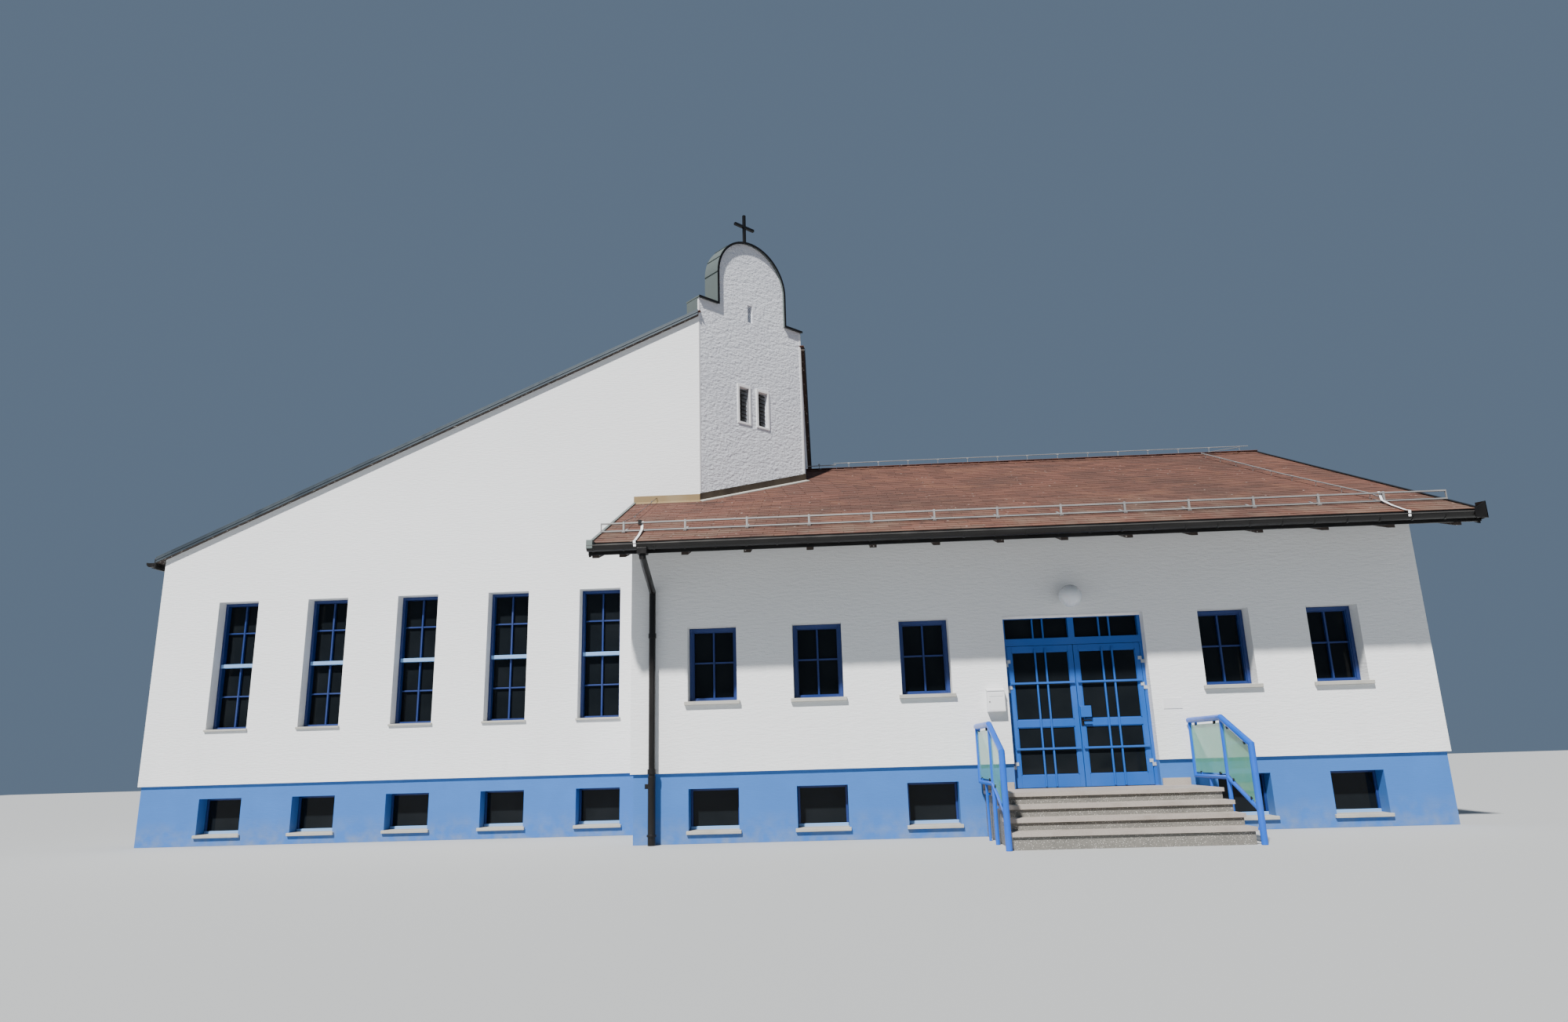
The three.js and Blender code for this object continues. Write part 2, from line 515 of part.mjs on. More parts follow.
function gutter(name, from, to, edge, top, turn, outlet) {
  const length = to - from;
  const trough = new THREE.ExtrudeGeometry(gutterShape(1), { depth: length, bevelEnabled: false, curveSegments: 10 });
  const end = new THREE.Shape();
  end.absarc(-(FASCIA + GUTTER_R), 0, GUTTER_R - 1, Math.PI, 2 * Math.PI, false);
  end.closePath();
  const stops = [0, length - GUTTER_SKIN].map((at) => new THREE.ExtrudeGeometry(end,
    { depth: GUTTER_SKIN, bevelEnabled: false, curveSegments: 10 }).translate(0, 0, at));
  const board = new THREE.BoxGeometry(FASCIA + 2, ROOF_THICK, length).translate(-(FASCIA + 2) / 2, -20, length / 2);
  const g = join([trough, ...stops, board]);
  // Drawn x goes inward, drawn y goes up, drawn z runs along the eave
  const along = new THREE.Vector3(...turn.along), inward = new THREE.Vector3(...turn.inward);
  const m = new THREE.Matrix4().makeBasis(inward, new THREE.Vector3(0, 0, 1), along);
  g.applyMatrix4(m);
  g.translate(...turn.place(from, edge, top - 70));
  add(name, g, BROWN, 0.5, 0.4);
}

function gutters() {
  const eaveTop = WING_EAVE_TOP;
  gutter('wing_front_gutter', WING_VERGE_LEFT, WING_VERGE_RIGHT, 0, eaveTop, {
    along: [1, 0, 0], inward: [0, 1, 0], place: (a, e, z) => [a, -WING_EAVE_OUT, z] });
  gutter('wing_back_gutter', NAVE_RIGHT + 80, WING_VERGE_RIGHT, 0, eaveTop, {
    along: [-1, 0, 0], inward: [0, -1, 0], place: (a, e, z) => [WING_VERGE_RIGHT, WING_DEPTH + WING_EAVE_OUT, z] });
  const low = naveLeftTop(NAVE_LEFT - NAVE_EAVE_OUT);
  const far = CORNER_X + CORNER_Y - NAVE_LEFT + NAVE_EAVE_OUT;
  gutter('nave_left_gutter', NAVE_FRONT - NAVE_VERGE_OUT, far, 0, low, {
    along: [0, -1, 0], inward: [1, 0, 0], place: (a, e, z) => [NAVE_LEFT - NAVE_EAVE_OUT, far, z] });
  gutter('nave_back_gutter', NAVE_LEFT - NAVE_EAVE_OUT, NAVE_RIGHT + NAVE_VERGE_OUT, 0, low, {
    along: [-1, 0, 0], inward: [0, -1, 0], place: (a, e, z) => [NAVE_RIGHT + NAVE_VERGE_OUT, far, z] });
  const { x, y, z } = PIPE_WALL;
  const out = -(WING_EAVE_OUT + FASCIA + GUTTER_R);
  const top = eaveTop - 70 - GUTTER_R - GAP;
  const pipe = tube([[PIPE_OUTLET_X, out, top], [PIPE_OUTLET_X, out, top - 110], [x, y, z], [x, y, 0]], PIPE_R);
  const clips = [3300, 1400].map((h) => box(x - 22, x + 22, y + 30, -GAP, h, h + 30));
  add('front_downpipe', join([pipe, ...clips]), BROWN, 0.5, 0.4);
}

// Snow guard of two rails on flat posts
function snowGuard() {
  const a = WING_VERGE_LEFT + 26, b = WING_VERGE_RIGHT - 12;
  const roof = wingFrontTop(0, GUARD_Y);
  const rails = GUARD_RAILS.map((h) => box(a, b, GUARD_Y - 15, GUARD_Y + 15, roof + h, roof + h + GUARD_RAIL_HIGH));
  const high = roof + GUARD_RAILS[1] + GUARD_RAIL_HIGH;
  const posts = Array.from({ length: GUARD_POSTS }, (_, i) => {
    const x = GUARD_FIRST + GUARD_PITCH * i;
    return prism([[x - 14, GUARD_Y - 20], [x + 14, GUARD_Y - 20], [x + 14, GUARD_Y + 20], [x - 14, GUARD_Y + 20]],
      lower(wingFrontTop, -GAP), high + 12);
  });
  const ends = [[a, a + 12], [b - 12, b]].map(([x0, x1]) =>
    box(x0, x1, GUARD_Y - 12, GUARD_Y + 12, roof + GUARD_RAILS[0] + 5, high - 5));
  add('snow_guard', join([...rails, ...posts, ...ends]), 0x8c9094, 0.5, 0.7);
}

// Entrance: fixed frame with its upper lights, two leaves that swing out
function entrance() {
  const y0 = FRAME_FACE, y1 = FRAME_FACE + FRAME_DEEP;
  const x0 = DOOR_LEFT, x1 = DOOR_RIGHT, mid = (x0 + x1) / 2;
  const upright = (shape, from, to) => {
    const g = new THREE.ExtrudeGeometry(shape, { depth: to - from, bevelEnabled: false });
    g.applyMatrix4(new THREE.Matrix4().makeBasis(
      new THREE.Vector3(1, 0, 0), new THREE.Vector3(0, 0, 1), new THREE.Vector3(0, -1, 0)));
    return g.translate(0, to, 0);
  };
  const outline = panel([[x0, FLOOR_TOP], [x0 + JAMB, FLOOR_TOP], [x0 + JAMB, TRANSOM_Z[0]],
    [x1 - JAMB, TRANSOM_Z[0]], [x1 - JAMB, FLOOR_TOP], [x1, FLOOR_TOP], [x1, DOOR_TOP], [x0, DOOR_TOP]]);
  const light = (a, b) => box(a, b, y0 - 5, y1 + 5, TRANSOM_Z[1], DOOR_TOP - HEAD);
  const frame = [cut(upright(outline, y0, y1), [light(x0 + JAMB, mid - JAMB), light(mid + JAMB, x1 - JAMB)])];
  const axisY = y0 - KNUCKLE_OUT;
  const sides = [{ name: 'left', way: 1, edge: x0 + JAMB }, { name: 'right', way: -1, edge: x1 - JAMB }];
  const span = (a, b) => [Math.min(a, b), Math.max(a, b)];
  for (const { way, edge } of sides) {
    const axis = edge + (way * LEAF_GAP) / 2;
    for (const h of HINGE_Z) {
      frame.push(tube([[axis, axisY, h], [axis, axisY, h + KNUCKLE_LONG - GAP]], KNUCKLE_R));
      frame.push(box(...span(axis, edge - way * 35), axisY + 2, y0 + 1, h, h + KNUCKLE_LONG - GAP));
    }
  }
  add('door_frame', join(frame), BLUE, 0.45);
  const sheetY0 = y0 + 30;
  add('transom_glass', box(x0 + JAMB + 3, x1 - JAMB - 3, y1 + GAP, y1 + GAP + 10,
    TRANSOM_Z[1] - 30, DOOR_TOP - 3), GLASS, 0.1);

  for (const { name, way, edge } of sides) {
    const axis = edge + (way * LEAF_GAP) / 2;
    const near = edge + way * LEAF_GAP, far = mid - (way * MEETING_GAP) / 2;
    const [a, b] = span(near, far);
    const low = FLOOR_TOP + DOORWAY_STAND, high = TRANSOM_Z[0] - LEAF_GAP;
    const solid = box(a, b, y0, y0 + LEAF_THICK, low, high);
    const fields = [[FLOOR_TOP + LEAF_BOTTOM_RAIL, FLOOR_TOP + LEAF_MID_RAIL[0]],
      [FLOOR_TOP + LEAF_MID_RAIL[1], high - LEAF_TOP_RAIL]];
    const hollows = fields.flatMap(([f, t]) => [
      box(a + STILE, b - STILE, y0 - 5, y0 + 15, f, t),
      box(a + STILE, b - STILE, y0 + LEAF_THICK - 15, y0 + LEAF_THICK + 5, f, t)]);
    const leaf = [cut(solid, hollows)];
    for (const h of HINGE_Z) {
      leaf.push(tube([[axis, axisY, h + KNUCKLE_LONG], [axis, axisY, h + 2 * KNUCKLE_LONG]], KNUCKLE_R));
      leaf.push(box(...span(axis, near + way * 35), axisY + 2, y0 + 1, h + KNUCKLE_LONG, h + 2 * KNUCKLE_LONG));
    }
    if (name === 'right') {
      leaf.push(box(a + 10, a + 10 + LOCK_BOX.width, y0 - LOCK_BOX.out, y0 + 20, LOCK_BOX.low, LOCK_BOX.high));
    }
    add(`door_leaf_${name}`, join(leaf), BLUE, 0.45);
  }
}

// Steps: a masonry base with four stone slabs on it
function steps() {
  const back = PLINTH_SET_BACK;
  const xa = STEP_LEFT + 20, xb = STEP_RIGHT - 20;
  const profile = [[back, 0], [back, TREAD_TOP[0] - TREAD_THICK]];
  NOSING_Y.forEach((y, i) => {
    const riser = y + NOSING_OUT;
    profile.push([riser, TREAD_TOP[i] - TREAD_THICK]);
    profile.push([riser, i < 3 ? TREAD_TOP[i + 1] - TREAD_THICK : 0]);
  });
  const flight = new THREE.ExtrudeGeometry(panel(profile), { depth: xb - xa, bevelEnabled: false });
  flight.applyMatrix4(new THREE.Matrix4().makeBasis(
    new THREE.Vector3(0, 1, 0), new THREE.Vector3(0, 0, 1), new THREE.Vector3(1, 0, 0)));
  flight.translate(xa, 0, 0);
  const underDoor = box(DOOR_LEFT, DOOR_RIGHT, back - 5, WALL, 0, TREAD_TOP[0] - TREAD_THICK);
  add('step_base', join([flight, underDoor]), GREY, 0.9);
  const top = TREAD_TOP[0];
  const landing = [
    box(STEP_LEFT, STEP_RIGHT, NOSING_Y[0], back, top - TREAD_THICK, top),
    box(DOOR_LEFT, DOOR_RIGHT, back - 5, WALL, top - TREAD_THICK, top),
    box(STEP_LEFT, DOOR_LEFT - UPSTAND.clear, back - UPSTAND.deep, back, top - 5, top + UPSTAND.high),
    box(DOOR_RIGHT + UPSTAND.clear, STEP_RIGHT, back - UPSTAND.deep, back, top - 5, top + UPSTAND.high)];
  add('landing_slab', join(landing), STONE, 0.8);
  ['upper_tread', 'middle_tread', 'lower_tread'].forEach((name, i) => {
    add(name, box(STEP_LEFT, STEP_RIGHT, NOSING_Y[i + 1], NOSING_Y[i] + NOSING_OUT,
      TREAD_TOP[i + 1] - TREAD_THICK, TREAD_TOP[i + 1]), STONE, 0.8);
  });
}

// Railings of round tube with two glass panels each
function railings() {
  const slopeTop = (y) => RAIL_LEVEL + ((RAIL_BEND_Z - RAIL_LEVEL) * (y - RAIL_MID_Y)) / (RAIL_FRONT_Y - RAIL_MID_Y);
  const slopeLow = (y) => LOWER_RAIL.level
    + ((LOWER_RAIL.bend - LOWER_RAIL.level) * (y - RAIL_MID_Y)) / (RAIL_FRONT_Y - RAIL_MID_Y);
  ['left', 'right'].forEach((name, k) => {
    const x = RAIL_X[k];
    const rear = RAIL_REAR_Y - POST_R;
    const parts = [
      tube([[x, RAIL_REAR_Y, RAIL_LEVEL], [x, RAIL_MID_Y, RAIL_LEVEL],
        [x, RAIL_FRONT_Y, RAIL_BEND_Z], [x, RAIL_FRONT_Y, 0]], RAIL_R),
      tube([[x, rear, RAIL_LEVEL], [x, rear, LOWER_RAIL.level], [x, RAIL_MID_Y, LOWER_RAIL.level],
        [x, RAIL_FRONT_Y, LOWER_RAIL.bend]], POST_R),
      tube([[x, RAIL_MID_Y, RAIL_LEVEL], [x, RAIL_MID_Y, 0]], POST_R, 10),
      tube([[x, REAR_FOOT_Y, LOWER_RAIL.level], [x, REAR_FOOT_Y, 0]], POST_R * 0.7, 10),
    ];
    const rearA = RAIL_REAR_Y - POST_R - GLASS_SIDE, rearB = RAIL_MID_Y + GLASS_SIDE;
    const frontA = RAIL_MID_Y - GLASS_SIDE, frontB = RAIL_FRONT_Y + GLASS_SIDE + 17;
    const clip = (y, z0, z1) => box(x - 12, x + 12, y - 15, y + 15, Math.min(z0, z1), Math.max(z0, z1));
    const lowLevel = LOWER_RAIL.level + GLASS_FOOT, highLevel = RAIL_LEVEL - GLASS_TOP;
    for (const y of [rearA - 200, rearB + 200]) {
      parts.push(clip(y, highLevel + GAP, RAIL_LEVEL), clip(y, LOWER_RAIL.level, lowLevel - GAP));
    }
    for (const y of [frontA - 130, frontB + 130]) {
      const steep = 15 * 0.46;
      parts.push(clip(y, slopeTop(y) - GLASS_TOP + steep + GAP, slopeTop(y)));
      parts.push(clip(y, slopeLow(y), slopeLow(y) + GLASS_FOOT - steep - GAP));
    }
    // Lugs that hold the posts to the ends of the slabs
    const [sideA, sideB] = k ? [STEP_RIGHT + GAP, x] : [x, STEP_LEFT - GAP];
    const lugs = [[REAR_FOOT_Y - 15, REAR_FOOT_Y + 15, TREAD_TOP[0]], [RAIL_MID_Y - 15, RAIL_MID_Y + 15, TREAD_TOP[1]],
      [NOSING_Y[3] - 10, NOSING_Y[3] + 30, TREAD_TOP[3]]];
    for (const [y0, y1, top] of lugs) parts.push(box(sideA, sideB, y0, y1, top - 40, top - 10));
    add(`railing_${name}`, join(parts), 0x1f78db, 0.4);
    const pane = (points) => {
      const g = new THREE.ExtrudeGeometry(panel(points), { depth: GLASS_THICK, bevelEnabled: false });
      g.applyMatrix4(new THREE.Matrix4().makeBasis(
        new THREE.Vector3(0, 1, 0), new THREE.Vector3(0, 0, 1), new THREE.Vector3(1, 0, 0)));
      return g.translate(x - GLASS_THICK / 2, 0, 0);
    };
    add(`railing_${name}_glass_rear`, pane([[rearB, lowLevel], [rearA, lowLevel], [rearA, highLevel],
      [rearB, highLevel]]), PALE_GLASS, 0.1);
    add(`railing_${name}_glass_front`, pane([
      [frontB, slopeLow(frontB) + GLASS_FOOT], [frontA, slopeLow(frontA) + GLASS_FOOT],
      [frontA, slopeTop(frontA) - GLASS_TOP], [frontB, slopeTop(frontB) - GLASS_TOP]]), PALE_GLASS, 0.1);
  });
}

// Small things on the front wall
function fittings() {
  const lamp = [new THREE.SphereGeometry(165, 20, 14).translate(6530, -215, 3345),
    tube([[6530, -90, 3345], [6530, -GAP, 3345]], 60, 16)];
  add('globe_lamp', join(lamp), 0xe8ecf0, 0.3);
  add('letter_box', box(5225, 5485, -120, -GAP, 1720, 2060), 0xe4e7ea, 0.5);
  add('wall_plate', box(7750, 8015, -8, -GAP, 1690, 1840), 0xe2e4e6, 0.5);
}

naveWalls();
bellGable();
wingWalls();
glazingAndFloors();
roofs();
gutters();
snowGuard();
entrance();
steps();
railings();
fittings();

// Origin under the middle of the whole building
const whole = new THREE.Box3();
group.children.forEach((m) => { m.geometry.computeBoundingBox(); whole.union(m.geometry.boundingBox); });
const centre = whole.getCenter(new THREE.Vector3());
group.children.forEach((m) => m.geometry.translate(-Math.round(centre.x), -Math.round(centre.y), -whole.min.z));

export default group;
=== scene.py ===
"""Looks of the church with the bell gable: plaster, roofing, windows, entrance and fittings."""
import math
import bmesh
import bpy
from bpy.props import FloatProperty, FloatVectorProperty, IntProperty, PointerProperty
from mathutils import Matrix, Vector


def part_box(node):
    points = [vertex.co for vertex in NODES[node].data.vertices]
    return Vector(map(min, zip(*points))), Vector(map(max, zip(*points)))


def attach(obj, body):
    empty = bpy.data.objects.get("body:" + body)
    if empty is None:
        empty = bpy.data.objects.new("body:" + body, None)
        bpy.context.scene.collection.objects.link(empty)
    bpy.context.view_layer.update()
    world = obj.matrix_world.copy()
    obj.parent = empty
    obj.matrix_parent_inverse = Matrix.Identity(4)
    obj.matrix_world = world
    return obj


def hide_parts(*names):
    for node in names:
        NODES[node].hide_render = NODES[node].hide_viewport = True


bl_info = {
    "name": "Church with bell gable",
    "version": (1, 0, 0),
    "blender": (4, 5, 0),
    "location": "3D View > Sidebar > Church",
    "description": "Dresses a parish church: plaster, shingles, windows, doors and fittings",
    "category": "Add Mesh",
}

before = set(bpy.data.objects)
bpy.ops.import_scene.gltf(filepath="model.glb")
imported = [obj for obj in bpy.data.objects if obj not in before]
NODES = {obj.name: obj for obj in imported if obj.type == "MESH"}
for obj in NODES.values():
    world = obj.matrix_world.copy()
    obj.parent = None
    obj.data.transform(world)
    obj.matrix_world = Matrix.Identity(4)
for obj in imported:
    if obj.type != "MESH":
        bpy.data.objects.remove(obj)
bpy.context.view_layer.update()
# The building's own measures start at the left end of the wing's front wall, at the ground
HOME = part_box("wing_front_wall_left")[0]
PLINTH = 0.985
RISE = 0.44                      # every roof rises this much for each metre
SLOPE = math.atan(RISE)
WING_DEPTH, WING_RIGHT = 10.4, 11.65
RIDGE = WING_DEPTH / 2
WING_EAVE = (-1.125, 4.21)       # edge line of the wing roof and its height
GABLE_X, NAVE_FRONT = 0.787, 2.02    # left end of the bell gable's face, on the nave's front face
GABLE_WIDTH, GABLE_TOP = 2.589, 9.53
NAVE_LEFT, NAVE_BACK = -8.845, 13.483
NAVE_VERGE = 1.95
NAVE_PEAK = 9.22                 # height of the nave roof over the gable's left end
NAVE_EAVE = -8.98
NAVE_SUM = 4.638                 # x + y on the diagonal across the nave's cut corner
H = math.sqrt(0.5)
UP = Vector((0, 0, 1))


def wing_top(y):
    return WING_EAVE[1] + RISE * (y - WING_EAVE[0])


def nave_top(x):
    return NAVE_PEAK + RISE * (x - GABLE_X)


def on_gable(s, inward, z):
    """A point on the bell gable: s along its face from the left, inward behind the face."""
    return Vector((GABLE_X + H * (s - inward), NAVE_FRONT + H * (s + inward), z))


# ---------------------------------------------------------------- sizes and colours

def length(name, text, value):
    return FloatProperty(name=name, description=text, default=value, min=0.0, max=5.0, unit="LENGTH")


def tint(name, text, value):
    return FloatVectorProperty(name=name, description=text, default=value, size=3, min=0, max=1,
                               subtype="COLOR")


class ChurchSizes(bpy.types.PropertyGroup):
    shingle_width: length("Shingle width", "Width of one roof shingle", 0.33)
    shingle_course: length("Shingle course", "Visible height of one course along the slope", 0.155)
    window_frame: length("Window frame", "Width of the window frames", 0.05)
    window_set_back: length("Window set-back", "Depth of the upper windows behind the wall face", 0.2)
    cellar_set_back: length("Cellar set-back", "Depth of the cellar windows behind the wall face", 0.265)
    rafter_pitch: length("Rafter pitch", "Distance between rafter tails under the eave", 0.89)
    bracket_pitch: length("Bracket pitch", "Distance between gutter brackets", 0.44)
    post_pitch: length("Conductor post pitch", "Distance between the ridge conductor's posts", 0.6)
    louvre_count: IntProperty(name="Louvre slats", description="Slats in each bell opening", default=9,
                              min=2, max=40)


class ChurchColours(bpy.types.PropertyGroup):
    plaster: tint("Plaster", "White of the walls", (0.84, 0.85, 0.86))
    plinth: tint("Plinth", "Blue of the plinth", (0.035, 0.15, 0.46))
    shingle: tint("Shingle", "Main colour of the roof shingles", (0.125, 0.05, 0.033))
    dark_metal: tint("Dark metal", "Gutters, downpipe and boards", (0.0045, 0.0035, 0.003))
    # Darker than the frames' sunlit paint: the frames' blue with painted shade in it.
    window_blue: tint("Window blue", "Blue of the window frames", (0.006, 0.028, 0.15))
    door_blue: tint("Door blue", "Blue of the entrance door", (0.008, 0.095, 0.40))
    rail_blue: tint("Rail blue", "Blue of the railings", (0.0, 0.10, 0.56))
    step_stone: tint("Step stone", "Pinkish stone of the treads", (0.60, 0.53, 0.47))


def sizes():
    return bpy.context.scene.church_sizes


def colours():
    return bpy.context.scene.church_colours


# ---------------------------------------------------------------- meshes

# Faces of a solid with eight corners, counted along x first, then y, then z
CORNER_FACES = [(0, 2, 3, 1), (4, 5, 7, 6), (0, 1, 5, 4), (2, 6, 7, 3), (0, 4, 6, 2), (1, 3, 7, 5)]


def rectangle(near, far, low, high):
    """Corners of a rectangular section, in order round it."""
    return [(near, low), (far, low), (far, high), (near, high)]


def put(name, data):
    """Stands an object made of the data in the scene."""
    piece = bpy.data.objects.new(name, data)
    bpy.context.scene.collection.objects.link(piece)
    return piece


class Shape:
    """Collects closed solids given in the building's own measures and makes one mesh of them."""

    def __init__(self, place=None):
        self.verts, self.faces, self.place = [], [], place

    def solid(self, points, faces=CORNER_FACES):
        base = len(self.verts)
        self.verts += [Vector(self.place(*p)) if self.place else Vector(p) for p in points]
        self.faces += [tuple(base + i for i in f) for f in faces]

    def box(self, x, y, z):
        """x, y and z are (low, high) pairs."""
        self.solid([(a, b, c) for c in z for b in y for a in x])

    def along(self, xs, section):
        """A (y, z) section drawn out along x."""
        self.loft([[(x, y, z) for y, z in section] for x in xs])

    def loft(self, rings):
        """Rings of equal length, each a list of points, joined along the way and capped."""
        n, points = len(rings[0]), [p for r in rings for p in r]
        faces = [(i * n + k, i * n + (k + 1) % n, (i + 1) * n + (k + 1) % n, (i + 1) * n + k)
                 for i in range(len(rings) - 1) for k in range(n)]
        faces += [tuple(reversed(range(n))), tuple(range((len(rings) - 1) * n, len(rings) * n))]
        self.solid(points, faces)

    def tube(self, points, radius, sides=8):
        pts = [Vector(p) for p in points]
        ways = [(b - a).normalized() for a, b in zip(pts, pts[1:])]
        normal = next((a.cross(b) for a, b in zip(ways, ways[1:]) if a.cross(b).length > 1e-5), None)
        normal = (normal or ways[0].cross(Vector((0.3, 0.2, 0.93)))).normalized()
        turns = [2 * math.pi * k / sides for k in range(sides)]
        rings = []
        for i, p in enumerate(pts):
            flat, next_flat = (ways[k].cross(normal) for k in (max(0, i - 1), min(len(ways) - 1, i)))
            side = (flat + next_flat).normalized()
            side = side / side.dot(flat)
            rings.append([p + radius * (math.cos(t) * normal + math.sin(t) * side) for t in turns])
        self.loft([list(reversed(r)) for r in rings])

    def mesh(self, name, home=True):
        shift = HOME if home else Vector()
        data = bpy.data.meshes.new(name)
        data.from_pydata([v + shift for v in self.verts], [], self.faces)
        outward(data)
        return data

    def make(self, name, coat, body="church", bevel=0.0):
        piece = put(name, self.mesh(name))
        piece.data.materials.append(finish(coat))
        if bevel:
            soften(piece, bevel, 2)
        if body:
            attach(piece, body)
        return piece


def outward(data):
    """Turns every closed shell of a mesh so that its faces point outwards."""
    work = bmesh.new()
    work.from_mesh(data)
    bmesh.ops.recalc_face_normals(work, faces=work.faces)
    work.to_mesh(data)
    work.free()


def soften(piece, width, segments):
    """Rounds a piece's sharp edges for good."""
    edge = piece.modifiers.new("Edges", "BEVEL")
    edge.width, edge.segments, edge.limit_method = width, segments, "ANGLE"
    depsgraph = bpy.context.evaluated_depsgraph_get()
    done = bpy.data.meshes.new_from_object(piece.evaluated_get(depsgraph))
    piece.modifiers.clear()
    piece.data = done


def smooth(piece, angle=40):
    piece.data.shade_smooth()
    piece.data.set_sharp_from_angle(angle=math.radians(angle))


# ---------------------------------------------------------------- repeated pieces

class Tree:
    """A Geometry Nodes tree with named inputs."""

    def __init__(self, name, **inputs):
        self.group = bpy.data.node_groups.new(name, "GeometryNodeTree")
        face = self.group.interface
        face.new_socket(name="Geometry", in_out="INPUT", socket_type="NodeSocketGeometry")
        for label, (kind, default) in inputs.items():
            made = face.new_socket(name=label, in_out="INPUT", socket_type="NodeSocket" + kind)
            if default is not None:
                made.default_value = default
        face.new_socket(name="Geometry", in_out="OUTPUT", socket_type="NodeSocketGeometry")
        self.start = self.group.nodes.new("NodeGroupInput")
        self.end = self.group.nodes.new("NodeGroupOutput")

    def given(self, label):
        return self.start.outputs[label]

    def add(self, kind, settings=None, **values):
        made = self.group.nodes.new(kind)
        for key, value in (settings or {}).items():
            setattr(made, key, value)
        for key, value in values.items():
            socket = next(s for s in made.inputs if s.name.replace(" ", "_") == key and s.enabled)
            if isinstance(value, bpy.types.NodeSocket):
                self.group.links.new(value, socket)
            else:
                socket.default_value = value
        return made

    def out(self, node):
        return next(s for s in node.outputs if s.enabled)

    def finish(self, geometry, material):
        real = self.add("GeometryNodeRealizeInstances", Geometry=geometry)
        coat = self.add("GeometryNodeSetMaterial", Geometry=self.out(real), Material=material)
        self.group.links.new(self.out(coat), self.end.inputs["Geometry"])
        return self.group


def copies_tree():
    """One part on every point, turned, sized, shaken a little and given a tone."""
    t = Tree("Copies on points", Part=("Object", None), Shake=("Vector", (0, 0, 0)), Seed=("Int", 1),
             Finish=("Material", None))
    part = t.add("GeometryNodeObjectInfo", {"transform_space": "ORIGINAL"}, Object=t.given("Part"),
                 As_Instance=True)
    turn, size = (t.add("GeometryNodeInputNamedAttribute", {"data_type": "FLOAT_VECTOR"}, Name=label)
                  for label in ("turn", "size"))
    back = t.add("ShaderNodeVectorMath", {"operation": "SCALE"}, Vector=t.given("Shake"), Scale=-1.0)
    shake = t.add("FunctionNodeRandomValue", {"data_type": "FLOAT_VECTOR"}, Min=t.out(back),
                  Max=t.given("Shake"), Seed=t.given("Seed"))
    spin = t.add("FunctionNodeEulerToRotation", Euler=t.out(turn))
    nudge = t.add("FunctionNodeEulerToRotation", Euler=t.out(shake))
    both = t.add("FunctionNodeRotateRotation", {"rotation_space": "LOCAL"}, Rotation=t.out(spin),
                 Rotate_By=t.out(nudge))
    placed = t.add("GeometryNodeInstanceOnPoints", Points=t.given("Geometry"),
                   Instance=next(s for s in part.outputs if s.name == "Geometry"),
                   Rotation=t.out(both), Scale=t.out(size))
    tone = t.add("FunctionNodeRandomValue", {"data_type": "FLOAT"}, Seed=t.given("Seed"))
    kept = t.add("GeometryNodeStoreNamedAttribute", {"data_type": "FLOAT", "domain": "INSTANCE"},
                 Geometry=t.out(placed), Name="tone", Value=t.out(tone))
    return t.finish(t.out(kept), t.given("Finish"))


def spot(place, turn=(0, 0, 0), size=(1, 1, 1)):
    """Where a copy stands in the building's measures, how it is turned and how large it is."""
    return place, turn, size


def copies(name, part, spots, coat, body="church", shake=(0, 0, 0), seed=1, bevel=0.0):
    """Copies the part, a Shape, to every spot and makes one piece of them."""
    tree = bpy.data.node_groups.get("Copies on points") or copies_tree()
    unit = put(name + "_unit", part.mesh(name + "_unit", home=False))
    if bevel:
        soften(unit, bevel, 1)
    points = bpy.data.meshes.new(name + "_points")
    points.from_pydata([Vector(s[0]) + HOME for s in spots], [], [])
    for column, label in enumerate(("turn", "size"), 1):
        layer = points.attributes.new(label, "FLOAT_VECTOR", "POINT")
        for i, s in enumerate(spots):
            layer.data[i].vector = s[column]
    holder = put(name + "_holder", points)
    way = holder.modifiers.new("Copies", "NODES")
    way.node_group = tree
    ids = {s.name: s.identifier for s in tree.interface.items_tree
           if s.item_type == "SOCKET" and s.in_out == "INPUT"}
    way[ids["Part"]], way[ids["Finish"]] = unit, finish(coat)
    way[ids["Shake"]], way[ids["Seed"]] = shake, seed
    depsgraph = bpy.context.evaluated_depsgraph_get()
    data = bpy.data.meshes.new_from_object(holder.evaluated_get(depsgraph))
    data.name = name
    holder.modifiers.remove(way)
    for left in (holder, unit):
        bpy.data.objects.remove(left)
    piece = put(name, data)
    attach(piece, body)
    return piece


def steps_between(low, high, pitch):
    n = max(1, round((high - low) / pitch))
    return [low + (high - low) * i / n for i in range(n + 1)]


# ---------------------------------------------------------------- finishes

